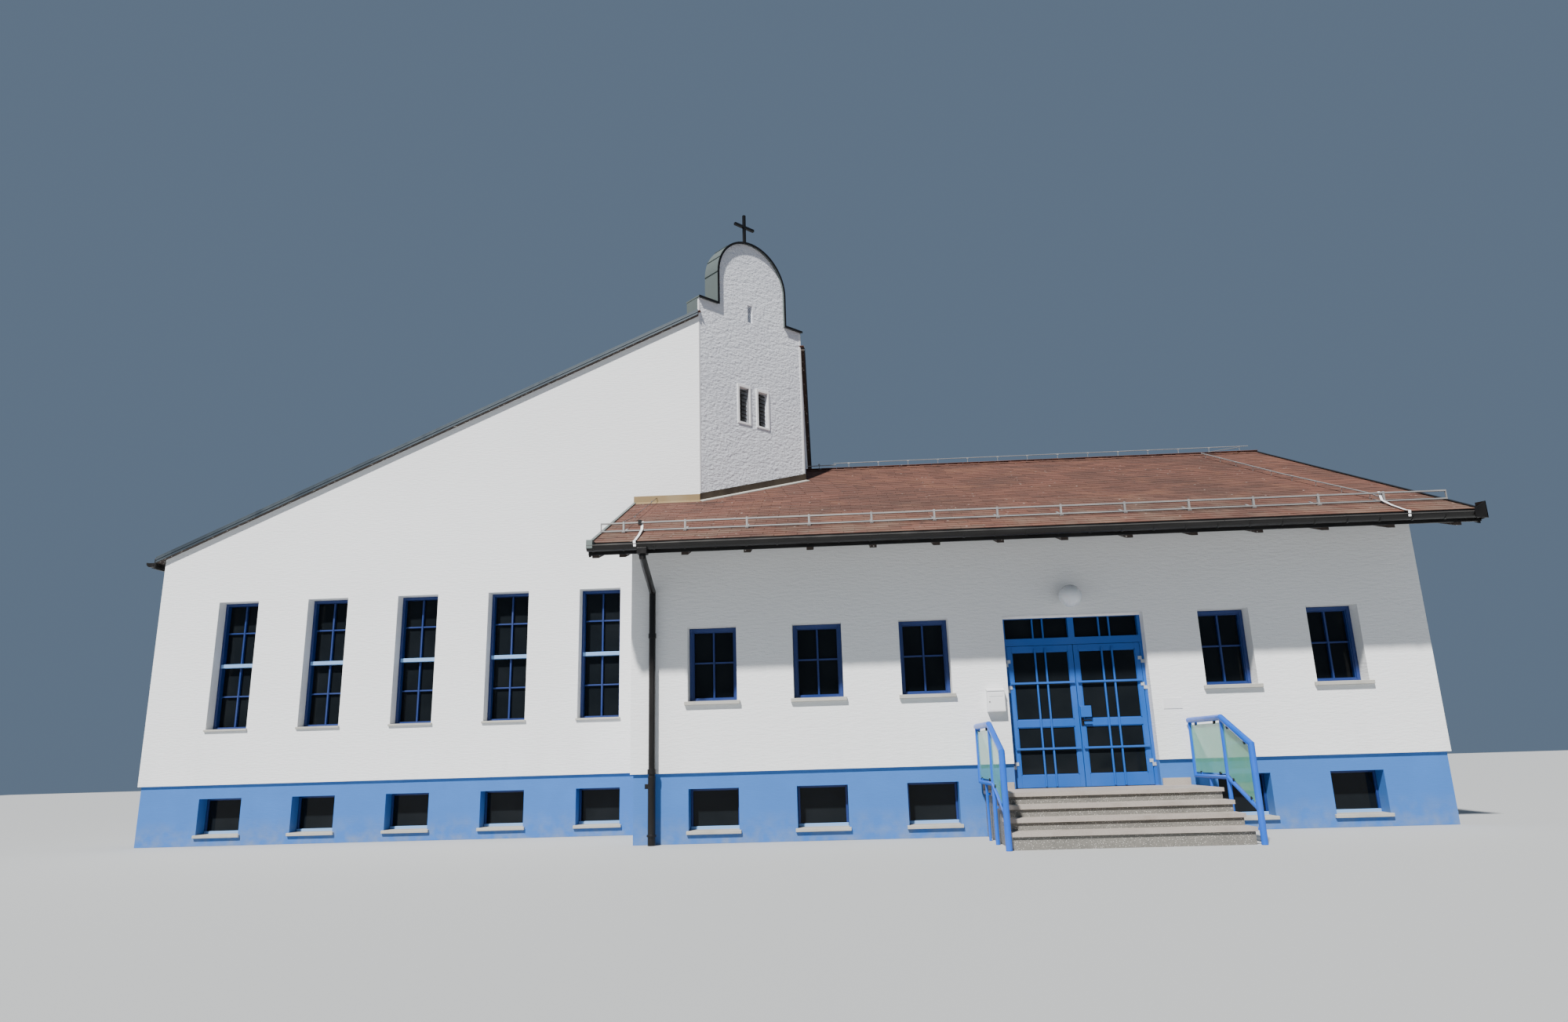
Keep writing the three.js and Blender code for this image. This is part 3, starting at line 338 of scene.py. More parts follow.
class Value:
    """A number socket that makes Math nodes when it is used in sums."""

    def __init__(self, finish, socket):
        self.finish, self.socket = finish, socket

    def _math(self, operation, a, b=None, clamp=False):
        values = {0: a, 1: b} if b is not None else {0: a}
        made = self.finish.node("ShaderNodeMath", {"operation": operation, "use_clamp": clamp}, values)
        return Value(self.finish, made.outputs[0])

    def __add__(self, other):
        return self._math("ADD", self, other)

    def __sub__(self, other):
        return self._math("SUBTRACT", self, other)

    def __rsub__(self, other):
        return self._math("SUBTRACT", other, self)

    def __mul__(self, other):
        return self._math("MULTIPLY", self, other)

    def __truediv__(self, other):
        return self._math("DIVIDE", self, other)

    def __pow__(self, other):
        return self._math("POWER", self, other)

    def __gt__(self, other):
        return self._math("GREATER_THAN", self, other)

    def __lt__(self, other):
        return self._math("LESS_THAN", self, other)

    __radd__, __rmul__ = __add__, __mul__

    def size(self):
        return self._math("ABSOLUTE", self)

    def clamp(self):
        return self._math("ADD", self, 0.0, clamp=True)

    def ramp(self, low, high):
        """0 below low, 1 above high."""
        return ((self - low) / (high - low)).clamp()


class Finish:
    """A procedural material on Object coordinates."""

    def __init__(self, name, colour=(0.5, 0.5, 0.5), roughness=0.6, metallic=0.0, **fixed):
        self.material = bpy.data.materials.new(name)
        self.material.use_nodes = True
        self.tree = self.material.node_tree
        self.shader = next(n for n in self.tree.nodes if n.type == "BSDF_PRINCIPLED")
        self.set(Base_Color=colour, Roughness=roughness, Metallic=metallic, **fixed)
        self.place = self.node("ShaderNodeTexCoord").outputs["Object"]
        split = self.node("ShaderNodeSeparateXYZ", {}, {0: self.place})
        self.x, self.y, self.z = (Value(self, split.outputs[i]) for i in range(3))

    def _put(self, socket, value):
        if isinstance(value, Value):
            value = value.socket
        if isinstance(value, bpy.types.NodeSocket):
            self.tree.links.new(value, socket)
        elif socket.type == "RGBA":
            socket.default_value = (*value, 1.0) if len(value) == 3 else value
        else:
            socket.default_value = value

    def node(self, kind, settings=None, values=None):
        made = self.tree.nodes.new(kind)
        for key, value in (settings or {}).items():
            setattr(made, key, value)
        for key, value in (values or {}).items():
            self._put(made.inputs[key], value)
        return made

    def set(self, **values):
        for key, value in values.items():
            self._put(self.shader.inputs[key.replace("_", " ")], value)
        return self

    def stretched(self, scale):
        return self.node("ShaderNodeMapping", {}, {"Vector": self.place, "Scale": scale}).outputs[0]

    def noise(self, scale, detail=3.0, stretch=None, distortion=0.0):
        vector = self.stretched(stretch) if stretch else self.place
        made = self.node("ShaderNodeTexNoise", {}, {"Vector": vector, "Scale": scale, "Detail": detail,
                                                    "Distortion": distortion})
        return Value(self, made.outputs[0])

    def cells(self, scale, feature="F1", stretch=None):
        vector = self.stretched(stretch) if stretch else self.place
        made = self.node("ShaderNodeTexVoronoi", {"feature": feature}, {"Vector": vector, "Scale": scale})
        return Value(self, made.outputs[0])

    def attribute(self, name):
        return Value(self, self.node("ShaderNodeAttribute", {"attribute_name": name}).outputs["Fac"])

    def mix(self, factor, a, b):
        made = self.node("ShaderNodeMix", {"data_type": "RGBA"})
        for key, value in ((0, factor), (6, a), (7, b)):
            self._put(made.inputs[key], value)
        return made.outputs[2]

    def bump(self, height, distance, strength=1.0):
        made = self.node("ShaderNodeBump", {}, {"Height": height, "Distance": distance, "Strength": strength})
        return self.set(Normal=made.outputs[0])


def shade(colour, by):
    return tuple(min(1.0, c * by) for c in colour)


def wall_finish():
    """White roughcast above the drip edge, blue paint with splash marks below it."""
    c = colours()
    f = Finish("plastered_wall", c.plaster, 0.9)
    grain, waves, patches = f.noise(70, 4), f.noise(9, 3, (1, 1, 4.5)), f.noise(0.5, 3)
    low = f.z < PLINTH
    streaks = f.noise(3.2, 4, (1, 1, 0.08)).ramp(0.52, 0.8) * (1.0 - ((f.z - 0.3) / 1.8).clamp())
    white = f.mix(patches.ramp(0.35, 0.75) * 0.5, c.plaster, shade(c.plaster, 0.93))
    white = f.mix(streaks * 0.35, white, (0.55, 0.56, 0.53))
    worn = f.noise(2.1, 5).ramp(0.45, 0.75)
    blue = f.mix(worn * 0.5, c.plinth, shade(c.plinth, 1.18))
    splash = (1.0 - f.z.ramp(0.02, 0.45)) * f.noise(6, 5).ramp(0.35, 0.7)
    blue = f.mix(splash * 0.5, blue, (0.22, 0.25, 0.27))
    f.set(Base_Color=f.mix(low, white, blue), Roughness=0.95 - low * 0.2)
    coarse = waves * 0.65 + grain * 0.35
    return f.bump(coarse * (1.0 - low * 0.75), 0.012, 0.7)


def roughcast_finish():
    """Coarse thrown plaster of the bell gable, in greyer and bluer tones than the walls that paint in the
    shade on its face; blue where its foot reaches the plinth.
    """
    c = colours()
    f = Finish("thrown_roughcast", shade(c.plaster, 0.97), 0.95)
    lumps = (1.0 - f.cells(16, "SMOOTH_F1", (1, 1, 1.4))) * 0.6 + f.noise(34, 5) * 0.6
    drag = f.noise(7, 4, (1, 1, 2.6), 0.6)
    dust = f.noise(1.1, 4).ramp(0.4, 0.75)
    # Painted shade: both tones are darker and bluer than the wall plaster, as the face stands in shade; the
    # dust noise mottles between them.
    tone = f.mix(dust * 0.6, (0.76, 0.78, 0.83), (0.66, 0.68, 0.74))
    f.set(Base_Color=f.mix(f.z < PLINTH, tone, c.plinth))
    return f.bump(lumps * 0.55 + drag * 0.6, 0.03, 0.85)


def smooth_plaster_finish():
    f = Finish("smooth_plaster", (0.86, 0.86, 0.87), 0.8)
    f.set(Base_Color=f.mix(f.noise(2.5, 4).ramp(0.4, 0.8) * 0.4, (0.86, 0.86, 0.87), (0.74, 0.75, 0.76)))
    return f.bump(f.noise(60, 3), 0.004, 0.5)


def shingle_finish():
    """Weathered shingles: a tone for each, moss shade, pale lichen specks, worn lower edges and painted
    shadows under lifted edges.
    """
    c = colours()
    f = Finish("weathered_shingles", c.shingle, 0.92)
    tone = f.attribute("tone")
    colour = f.mix(tone, shade(c.shingle, 0.72), shade(c.shingle, 1.28))
    colour = f.mix(f.noise(0.45, 6, None, 0.5).ramp(0.42, 0.62) * 0.6, colour, (0.06, 0.029, 0.021))
    colour = f.mix(f.noise(1.1, 6, None, 1.2).ramp(0.52, 0.72) * 0.5, colour, (0.20, 0.088, 0.05))
    # Painted shadow: dark broken lines along the courses, where lifted shingle edges throw shade.
    lifted_edge_shadow_noise = f.noise(0.9, 6, (0.45, 3.2, 3.2), 0.3)
    line = (1.0 - (lifted_edge_shadow_noise - 0.5).size().ramp(0.004, 0.012)) * (f.noise(0.7, 3) > 0.52)
    colour = f.mix(line * 0.75, colour, (0.035, 0.02, 0.016))
    eave = 1.0 - f.z.ramp(4.2, 5.3)
    colour = f.mix(eave * f.noise(2.2, 6).ramp(0.42, 0.66) * 0.6, colour, (0.17, 0.125, 0.09))
    specks = f.cells(5.5).ramp(0.0, 0.13)
    colour = f.mix((1.0 - specks) * (f.noise(1.7, 2) > 0.5) * 0.8, colour, (0.55, 0.48, 0.42))
    f.set(Base_Color=f.mix(f.noise(45, 4).ramp(0.3, 0.8) * 0.35, colour, (0.10, 0.06, 0.05)))
    return f.bump(f.noise(30, 5) * 0.6 + f.noise(120, 2) * 0.4, 0.005, 0.6)


def metal_finish(name, colour, roughness, metallic, dust, amount):
    f = Finish(name, colour, roughness, metallic)
    film = f.noise(3.0, 5, (1, 1, 0.35)).ramp(0.4, 0.8)
    base = f.mix(film * amount, colour, dust)
    base = f.mix(f.noise(40, 3).ramp(0.6, 0.9) * amount, base, shade(dust, 0.6))
    f.set(Base_Color=base, Roughness=film * 0.25 + roughness * 0.9)
    return f.bump(f.noise(6, 3) * 0.8 + f.noise(90, 2) * 0.2, 0.003, 0.4)


def paint_finish(name, colour, roughness=0.35, worn=0.2):
    """Brushed gloss paint with a chalky bloom and a few grey scuffs."""
    f = Finish(name, colour, roughness, 0.0, Coat_Weight=0.15)
    bloom = f.noise(1.8, 4).ramp(0.35, 0.8)
    base = f.mix(bloom * worn, colour, tuple(min(1.0, c * 1.25 + 0.05) for c in colour))
    scuffs = f.noise(22, 5, (1, 1, 0.4)).ramp(0.66, 0.8)
    f.set(Base_Color=f.mix(scuffs * worn, base, shade(colour, 0.5)), Roughness=bloom * 0.2 + roughness)
    return f.bump(f.noise(55, 3), 0.0015, 0.4)


def glass_finish(name, colour, roughness=0.04):
    """Dark pane with faint unevenness and a film of dust."""
    f = Finish(name, colour, roughness, 0.0, Specular_IOR_Level=0.12)
    film = f.noise(1.5, 4).ramp(0.4, 0.8)
    f.set(Base_Color=f.mix(film * 0.35, colour, tuple(c * 1.8 + 0.01 for c in colour)),
          Roughness=film * 0.06 + roughness)
    return f.bump(f.noise(1.6, 2), 0.01, 0.25)


def rail_glass_finish():
    f = Finish("green_safety_glass", (0.22, 0.60, 0.42), 0.08, 0.0, IOR=1.5)
    edge = f.noise(2.0, 3).ramp(0.35, 0.8)
    f.set(Base_Color=f.mix(edge * 0.5, (0.16, 0.52, 0.38), (0.32, 0.60, 0.34)), Alpha=edge * 0.12 + 0.62)
    return f.bump(f.noise(3, 2), 0.004, 0.2)


def stone_finish(name, light, dark, grain=120, bump=0.0015, speck=0.5):
    """Artificial stone with coloured chips."""
    f = Finish(name, light, 0.75)
    chips = f.cells(grain)
    colour = f.mix(f.noise(1.5, 4).ramp(0.35, 0.75) * 0.5, light, shade(light, 0.82))
    colour = f.mix((chips < 0.32) * speck, colour, dark)
    colour = f.mix((f.cells(grain * 0.7) < 0.2) * speck, colour, (0.72, 0.69, 0.64))
    worn = f.noise(4, 6).ramp(0.5, 0.75)
    f.set(Base_Color=f.mix(worn * 0.35, colour, shade(dark, 0.8)), Roughness=worn * 0.2 + 0.65)
    return f.bump(chips * 0.6 + f.noise(grain, 2) * 0.4, bump, 0.8)


def louvre_finish():
    # Near black as painted shade of the dark bell chamber, on the slats and on the sheets behind them; the
    # lighter streaks are dust.
    f = Finish("dark_louvres", (0.012, 0.011, 0.011), 0.8)
    dust = f.noise(5, 4, (1, 1, 6)).ramp(0.4, 0.8)
    f.set(Base_Color=f.mix(dust * 0.5, (0.01, 0.009, 0.009), (0.03, 0.026, 0.022)))
    return f.bump(f.noise(30, 3, (1, 1, 5)), 0.003, 0.5)


def opal_finish():
    f = Finish("opal_globe", (0.80, 0.83, 0.87), 0.25, 0.0, Subsurface_Weight=0.15)
    # Darker towards the bottom of the globe: the mottling is full below its middle and half as strong over
    # its top.
    dust = f.noise(5, 4).ramp(0.4, 0.8) * (1.0 - f.z.ramp(3.35, 3.5) * 0.5)
    f.set(Base_Color=f.mix(dust * 0.3, (0.80, 0.83, 0.87), (0.52, 0.54, 0.56)), Roughness=dust * 0.3 + 0.2)
    return f.bump(f.noise(20, 2), 0.001, 0.2)


def makers():
    """The maker of each finish and what it is given."""
    c = colours()
    metal, paint, stone = metal_finish, paint_finish, stone_finish
    brown, beige, dust = (0.055, 0.04, 0.028), (0.24, 0.165, 0.075), (0.36, 0.34, 0.31)
    tread = shade(c.step_stone, 0.62)
    return {
        "wall": (wall_finish,),
        "roughcast": (roughcast_finish,),
        "smooth_plaster": (smooth_plaster_finish,),
        "shingle": (shingle_finish,),
        "dark_metal": (metal, "dark_brown_metal", c.dark_metal, 0.4, 0.2, (0.03, 0.027, 0.025), 0.25),
        "verge": (metal, "verge_strip", (0.04, 0.055, 0.07), 0.5, 0.4, (0.10, 0.12, 0.13), 0.4),
        # Painted highlight: the beads are much lighter than the gutters' dark metal, to stand in for the
        # light line along the rims.
        "gutter_bead": (metal, "gutter_bead", (0.10, 0.095, 0.09), 0.3, 0.6, (0.2, 0.19, 0.17), 0.3),
        "zinc": (metal, "weathered_zinc", (0.15, 0.18, 0.175), 0.5, 0.4, (0.09, 0.11, 0.10), 0.6),
        "galvanised": (metal, "galvanised_steel", (0.30, 0.30, 0.30), 0.5, 0.5, dust, 0.4),
        "brown_flashing": (metal, "brown_flashing", brown, 0.55, 0.3, (0.16, 0.13, 0.09), 0.35),
        "beige_flashing": (metal, "beige_flashing", beige, 0.55, 0.2, (0.32, 0.26, 0.16), 0.5),
        "iron": (metal, "black_iron", (0.012, 0.012, 0.013), 0.45, 0.5, (0.05, 0.045, 0.04), 0.2),
        "hinge": (metal, "pale_hinges", (0.55, 0.58, 0.62), 0.4, 0.4, (0.4, 0.4, 0.4), 0.3),
        "window_blue": (paint, "window_blue", c.window_blue, 0.4),
        "pale_blue": (paint, "pale_blue_rail", (0.20, 0.38, 0.68), 0.4),
        "door_blue": (paint, "door_blue", c.door_blue, 0.35),
        "rail_blue": (paint, "rail_blue", c.rail_blue, 0.3, 0.25),
        "white_paint": (paint, "white_paint", (0.80, 0.81, 0.82), 0.4, 0.1),
        "glass": (glass_finish, "dark_panes", (0.006, 0.008, 0.010)),
        "rail_glass": (rail_glass_finish,),
        "tread": (stone, "tread_stone", tread, (0.22, 0.17, 0.14), 110, 0.001, 0.35),
        "riser": (stone, "washed_aggregate", (0.19, 0.18, 0.16), (0.10, 0.10, 0.09), 70, 0.005, 0.8),
        "sill": (stone, "sill_stone", (0.42, 0.41, 0.37), (0.28, 0.27, 0.24), 130, 0.0008, 0.3),
        "floor": (stone, "hall_floor", (0.34, 0.32, 0.30), (0.2, 0.19, 0.18), 60, 0.001, 0.5),
        "rafter": (stone, "stained_timber", (0.05, 0.035, 0.028), (0.025, 0.018, 0.015), 25, 0.002, 0.6),
        "louvre": (louvre_finish,),
        "opal": (opal_finish,),
        "stage_floor": (Finish, "pale_floor", (0.42, 0.43, 0.43), 0.9),
    }


MADE = {}


def finish(name):
    """Each finish is made once, when it is first asked for."""
    if name not in MADE:
        maker, *given = makers()[name]
        MADE[name] = maker(*given).material
    return MADE[name]


def dress(coat, *names):
    """Gives nodes of the part a finish."""
    for name in names:
        data = NODES[name].data
        data.materials.clear()
        data.materials.append(finish(coat))


# ---------------------------------------------------------------- windows

# Turns of a piece drawn for a front side, so that it fits another side
FRONT, LEFT, BACK, RIGHT = 0.0, -math.pi / 2, math.pi, math.pi / 2
NAVE_WINDOW, WING_WINDOW, CELLAR_WINDOW = (0.715, 2.212), (0.735, 1.117), (0.735, 0.595)
NAVE_SILL, WING_SILL, CELLAR_SILL = 1.892, 1.993, 0.165
NAVE_X = [-7.768 + 1.61 * i for i in range(5)]   # left edges of the openings in the nave's front
SIDE_START, BACK_START = 0.3, 0.9    # how far the rows of its left and back walls are shifted
GLASS_IN = 0.3                   # the panes close the openings on the walls' inner faces
FRAME_IN = GLASS_IN - 0.001
REVEAL = 0.004                   # gap between a frame and its opening


def nave_openings(width):
    """Lower left corners and turns of the nave's openings, each seen from outside."""
    return ([(x, NAVE_FRONT, FRONT) for x in NAVE_X]
            + [(NAVE_LEFT, x + NAVE_FRONT - NAVE_LEFT + SIDE_START + width, LEFT) for x in NAVE_X]
            + [(x + BACK_START + width, NAVE_BACK, BACK) for x in NAVE_X])


WING_FRONT_X = (0.85, 2.425, 4.015, 8.4, 9.965)
WING_RIGHT_Y = (1.9, 3.5, 6.0, 7.6)
WING_BACK_X = (3.5, 5.1, 6.7, 8.3, 9.9)
WING_OPENINGS = ([(x, 0.0, FRONT) for x in WING_FRONT_X]
                 + [(WING_RIGHT, y, RIGHT) for y in WING_RIGHT_Y]
                 + [(x + WING_WINDOW[0], WING_DEPTH, BACK) for x in WING_BACK_X])


def spots(rows, z):
    return [spot((x, y, z), (0, 0, turn)) for x, y, turn in rows]


def window_frame(w, h, back, side, bars):
    """Outer frame, centre upright and thin cross bars, drawn from the opening's lower left corner."""
    s, y, low, high, middle = Shape(), (back, FRAME_IN), REVEAL, h - REVEAL, w / 2
    s.box((REVEAL, side), y, (low, high))
    s.box((w - side, w - REVEAL), y, (low, high))
    s.box((side, w - side), y, (low, side))
    s.box((side, w - side), y, (h - side, high))
    half_upright, half_bar = 0.014, 0.012
    s.box((middle - half_upright, middle + half_upright), (GLASS_IN - 0.05, FRAME_IN), (side, h - side))
    for z in bars:
        s.box((side, w - side), (GLASS_IN - 0.04, FRAME_IN), (z - half_bar, z + half_bar))
    return s


def sash_lines(w, h, back, side):
    """The narrow inner rebate that throws a shadow line inside each frame."""
    s, y, wide = Shape(), (back + 0.018, FRAME_IN), 0.016
    for x in (side, w - side - wide):
        s.box((x, x + wide), y, (side, h - side))
    for z in (side, h - side - wide):
        s.box((side + wide, w - side - wide), y, (z, z + wide))
    return s


def panes(w, h):
    s, lap = Shape(), 0.03
    s.box((-lap, w + lap), (GLASS_IN + 0.0003, GLASS_IN + 0.012), (-lap, h + lap))
    return s


def sill(w, out, side, thick):
    """A sill that falls a little to the outside and reaches past the opening at both ends."""
    s, back, top = Shape(), GLASS_IN - 0.002, 0.012
    s.along((-side, w + side), [(-out, top - thick), (back, top - thick), (back, top + 0.006), (-out, top)])
    return s


def fit(kind, rows, *pieces):
    """Copies each piece (name, part, finish, bevel) of a window to all openings. Returns the panes."""
    made = {name: copies(f"{kind}_window_{name}", part, rows, coat, bevel=bevel)
            for name, part, coat, bevel in pieces}
    return made["panes"]


class CHURCH_OT_windows(bpy.types.Operator):
    """Frames, panes and sills of all windows"""
    bl_idname = "church.windows"
    bl_label = "Windows"

    def execute(self, context):
        self.nave()
        self.wing()
        self.cellar()
        return {"FINISHED"}

    def nave(self):
        (w, h), back, side = NAVE_WINDOW, sizes().window_set_back, sizes().window_frame
        cross, middle = Shape(), h * 0.5
        cross.box((side * 0.6, w - side * 0.6), (back - 0.008, FRAME_IN), (middle - 0.035, middle + 0.03))
        glass = fit("nave", spots(nave_openings(w), NAVE_SILL),
                    ("frames", window_frame(w, h, back, side, (h * 0.26, h * 0.76)), "window_blue", 0.003),
                    ("transoms", cross, "pale_blue", 0.004),
                    ("panes", panes(w, h), "glass", 0.0),
                    ("sills", sill(w, 0.035, 0.02, 0.035), "sill", 0.004))
        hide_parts("nave_front_windows", "nave_left_windows", "nave_back_windows")

    def wing(self):
        (w, h), back, side = WING_WINDOW, sizes().window_set_back + 0.02, sizes().window_frame * 1.1
        glass = fit("wing", spots(WING_OPENINGS, WING_SILL),
                    ("frames", window_frame(w, h, back, side, (h * 0.53,)), "window_blue", 0.003),
                    ("rebates", sash_lines(w, h, back, side), "window_blue", 0.0),
                    ("panes", panes(w, h), "glass", 0.0),
                    ("sills", sill(w, 0.06, 0.045, 0.055), "sill", 0.005))
        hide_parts("wing_front_windows_left", "wing_front_windows_right", "wing_right_windows",
                    "wing_back_windows")

    def cellar(self):
        (w, h), back = CELLAR_WINDOW, sizes().cellar_set_back
        side, low, rail_low = 0.035, 0.06, 0.012
        ring, rail, y = Shape(), Shape(), (back, FRAME_IN)
        ring.box((REVEAL, side), y, (low, h - REVEAL))
        ring.box((w - side, w - REVEAL), y, (low, h - REVEAL))
        ring.box((side, w - side), y, (h - side, h - REVEAL))
        rail.box((REVEAL, w - REVEAL), (back - 0.006, FRAME_IN), (rail_low, low))
        glass = fit("cellar", spots(nave_openings(w) + WING_OPENINGS, CELLAR_SILL),
                    ("frames", ring, "window_blue", 0.003),
                    ("bottom_rails", rail, "pale_blue", 0.004),
                    ("panes", panes(w, h), "glass", 0.0),
                    ("sills", sill(w, 0.005, 0.03, 0.05), "sill", 0.005))
        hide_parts(*[n for n in NODES if "cellar_windows" in n])


# ---------------------------------------------------------------- roofing

WING_SHINGLES = (-0.385, 11.94)  # ends of the courses on the front slope
BEHIND_GABLE = 2.60              # where the wing's courses start behind the bell gable
RIDGE_ENDS, RIDGE_CAP = (2.62, 11.58), 0.26      # ends of the row of caps and the pitch of its caps
HIP_TOP, HIP_CAP = 1.46, 0.27    # x of the hip's upper end and the pitch of its caps
SHINGLE_JOINT = 0.005


def shingle_unit():
    """One shingle as wide as 1, from its lower edge up the slope, tilted to lie on the course below."""
    s = Shape()
    long, thick, lift = 0.2, 0.0065, 0.0085
    s.along((-0.5, 0.5), [(0, lift), (long, 0), (long, thick), (0, lift + thick)])
    return s


def course(start, end, shift, width):
    """Middles and widths of the shingles of one course between start and end."""
    out, at = [], start - (width * 0.5 if shift else 0.0)
    while at < end - 0.02:
        a, b = max(at, start), min(at + width, end)
        if b - a > 0.04:
            out.append(((a + b) / 2, b - a - SHINGLE_JOINT))
        at += width
    return out


def lay(rows, place, turn):
    """Spots for all courses. rows gives (up the slope in plan, start, end) for each course."""
    width = sizes().shingle_width
    return [spot(place(middle, up), turn, (wide, 1, 1)) for k, (up, start, end) in enumerate(rows)
            for middle, wide in course(start, end, k % 2, width)]


def wing_rows(step):
    """Courses of the front slope, along X, each from the verge or the bell gable's foot."""
    rows, y = [], WING_EAVE[0] - 0.03
    while y < RIDGE - 0.06:
        if y < NAVE_FRONT:
            start = WING_SHINGLES[0]
        else:
            start = 0.767 + y - NAVE_FRONT if y < 3.83 else BEHIND_GABLE
        rows.append((y, start, WING_SHINGLES[1]))
        y += step
    return rows


def nave_rows(step):
    """Courses of the left slope, along Y, each up to the hip and round the bell gable's foot."""
    rows, x = [], NAVE_EAVE - 0.02
    while x < 1.44:
        end = NAVE_SUM - x - step
        if x < 0.554 - step:
            rows.append((x, NAVE_VERGE, end))
        else:
            if x < 0.74:
                rows.append((x, NAVE_VERGE, 2.795 - x))
            rows.append((x, x + 1.72, end))
        x += step
    return [r for r in rows if r[2] - r[1] > 0.05]


def folded_cap(fall, wide):
    """A sheet folded along its middle, lifted at its lower end to lie over the next one."""
    s, long, thick, n = Shape(), 0.34, 0.007, 6
    points = [(x, end, lift - abs(x) * fall + up) for end, lift in ((0, 0.012), (long, 0.0))
              for x, up in ((-wide, 0), (0, 0), (wide, 0), (wide, thick), (0, thick), (-wide, thick))]
    s.solid(points, [(k, (k + 1) % n, n + (k + 1) % n, n + k) for k in range(n)]
            + [(0, 5, 4, 1), (1, 4, 3, 2), (6, 7, 10, 11), (7, 8, 9, 10)])
    return s


class CHURCH_OT_shingles(bpy.types.Operator):
    """Courses of shingles on all four slopes, with ridge and hip caps"""
    bl_idname = "church.shingles"
    bl_label = "Shingles"

    def execute(self, context):
        step = sizes().shingle_course * math.cos(SLOPE)
        front, left = wing_rows(step), nave_rows(step)
        back = [(up, BEHIND_GABLE, end) for up, _, end in front]
        unit = shingle_unit()
        slopes = (
            ("wing_shingles_front", front, FRONT, lambda a, u: (a, u, wing_top(u))),
            ("wing_shingles_back", back, BACK, lambda a, u: (a, WING_DEPTH - u, wing_top(u))),
            ("nave_shingles_left", left, LEFT, lambda a, u: (u, a, nave_top(u))),
            ("nave_shingles_back", left, BACK, lambda a, u: (NAVE_SUM - a, NAVE_SUM - u, nave_top(u))))
        for k, (name, rows, heading, place) in enumerate(slopes):
            copies(name, unit, lay(rows, place, (SLOPE, 0, heading)), "shingle",
                   shake=(0.006, 0.004, 0.006), seed=11 + k)
        self.ridge_caps()
        self.hip_caps()
        return {"FINISHED"}

    def ridge_caps(self):
        rows = [spot((x, RIDGE, wing_top(RIDGE) + 0.016), (0, 0, LEFT))
                for x in steps_between(*RIDGE_ENDS, RIDGE_CAP)]
        copies("wing_ridge_caps", folded_cap(RISE, 0.15), rows, "shingle",
               shake=(0.004, 0.01, 0.004), seed=15)

    def hip_caps(self):
        foot, high = (Vector((x, NAVE_SUM - x, nave_top(x))) for x in (NAVE_EAVE, HIP_TOP))
        way = high - foot
        turn = (math.atan2(way.z, math.hypot(way.x, way.y)), 0, math.atan2(-way.x, way.y))
        n = int(way.length / HIP_CAP)
        rows = [spot(foot + way * (i / n) + UP * 0.02, turn) for i in range(n)]
        copies("nave_hip_caps", folded_cap(RISE * H / math.cos(0.3), 0.2), rows, "shingle",
               shake=(0.003, 0.008, 0.003), seed=16)


# ---------------------------------------------------------------- roof edges and ironwork

# Sections (near, far, low, high) of the strips along the nave's verges: two folds and the face
VERGE_SECTIONS = ((-0.09, 0.012, 0.018, 0.036), (-0.03, 0.02, -0.024, -0.006), (0.0, 0.012, -0.068, 0.02))
GUTTER_MIDDLE, GUTTER_DROP = -0.0995, -0.07      # the trough's centre from the eave line
STRAP_RADII, STRAP_HALF = (0.0765, 0.0815), 0.014
BEAD_OUT, BEAD_Z, BEAD_RADIUS = 11.696, 4.142, 0.0085
PIPE = (0.335, -0.085)           # middle of the front downpipe
FRONT_EAVE, BACK_EAVE = (-0.3, 11.85), (2.9, 11.85)  # first and last strap
RAFTER_START, RAFTER_COUNT, BACK_RAFTERS = 0.09, 14, 2.8     # those of the back eave lie right of 2.8


def wing_eaves(front, back):
    """Spots along the wing's two eaves, those of the back one turned about."""
    y, z = WING_EAVE
    return ([spot((x, y, z)) for x in front]
            + [spot((x, WING_DEPTH - y, z), (0, 0, BACK)) for x in back])


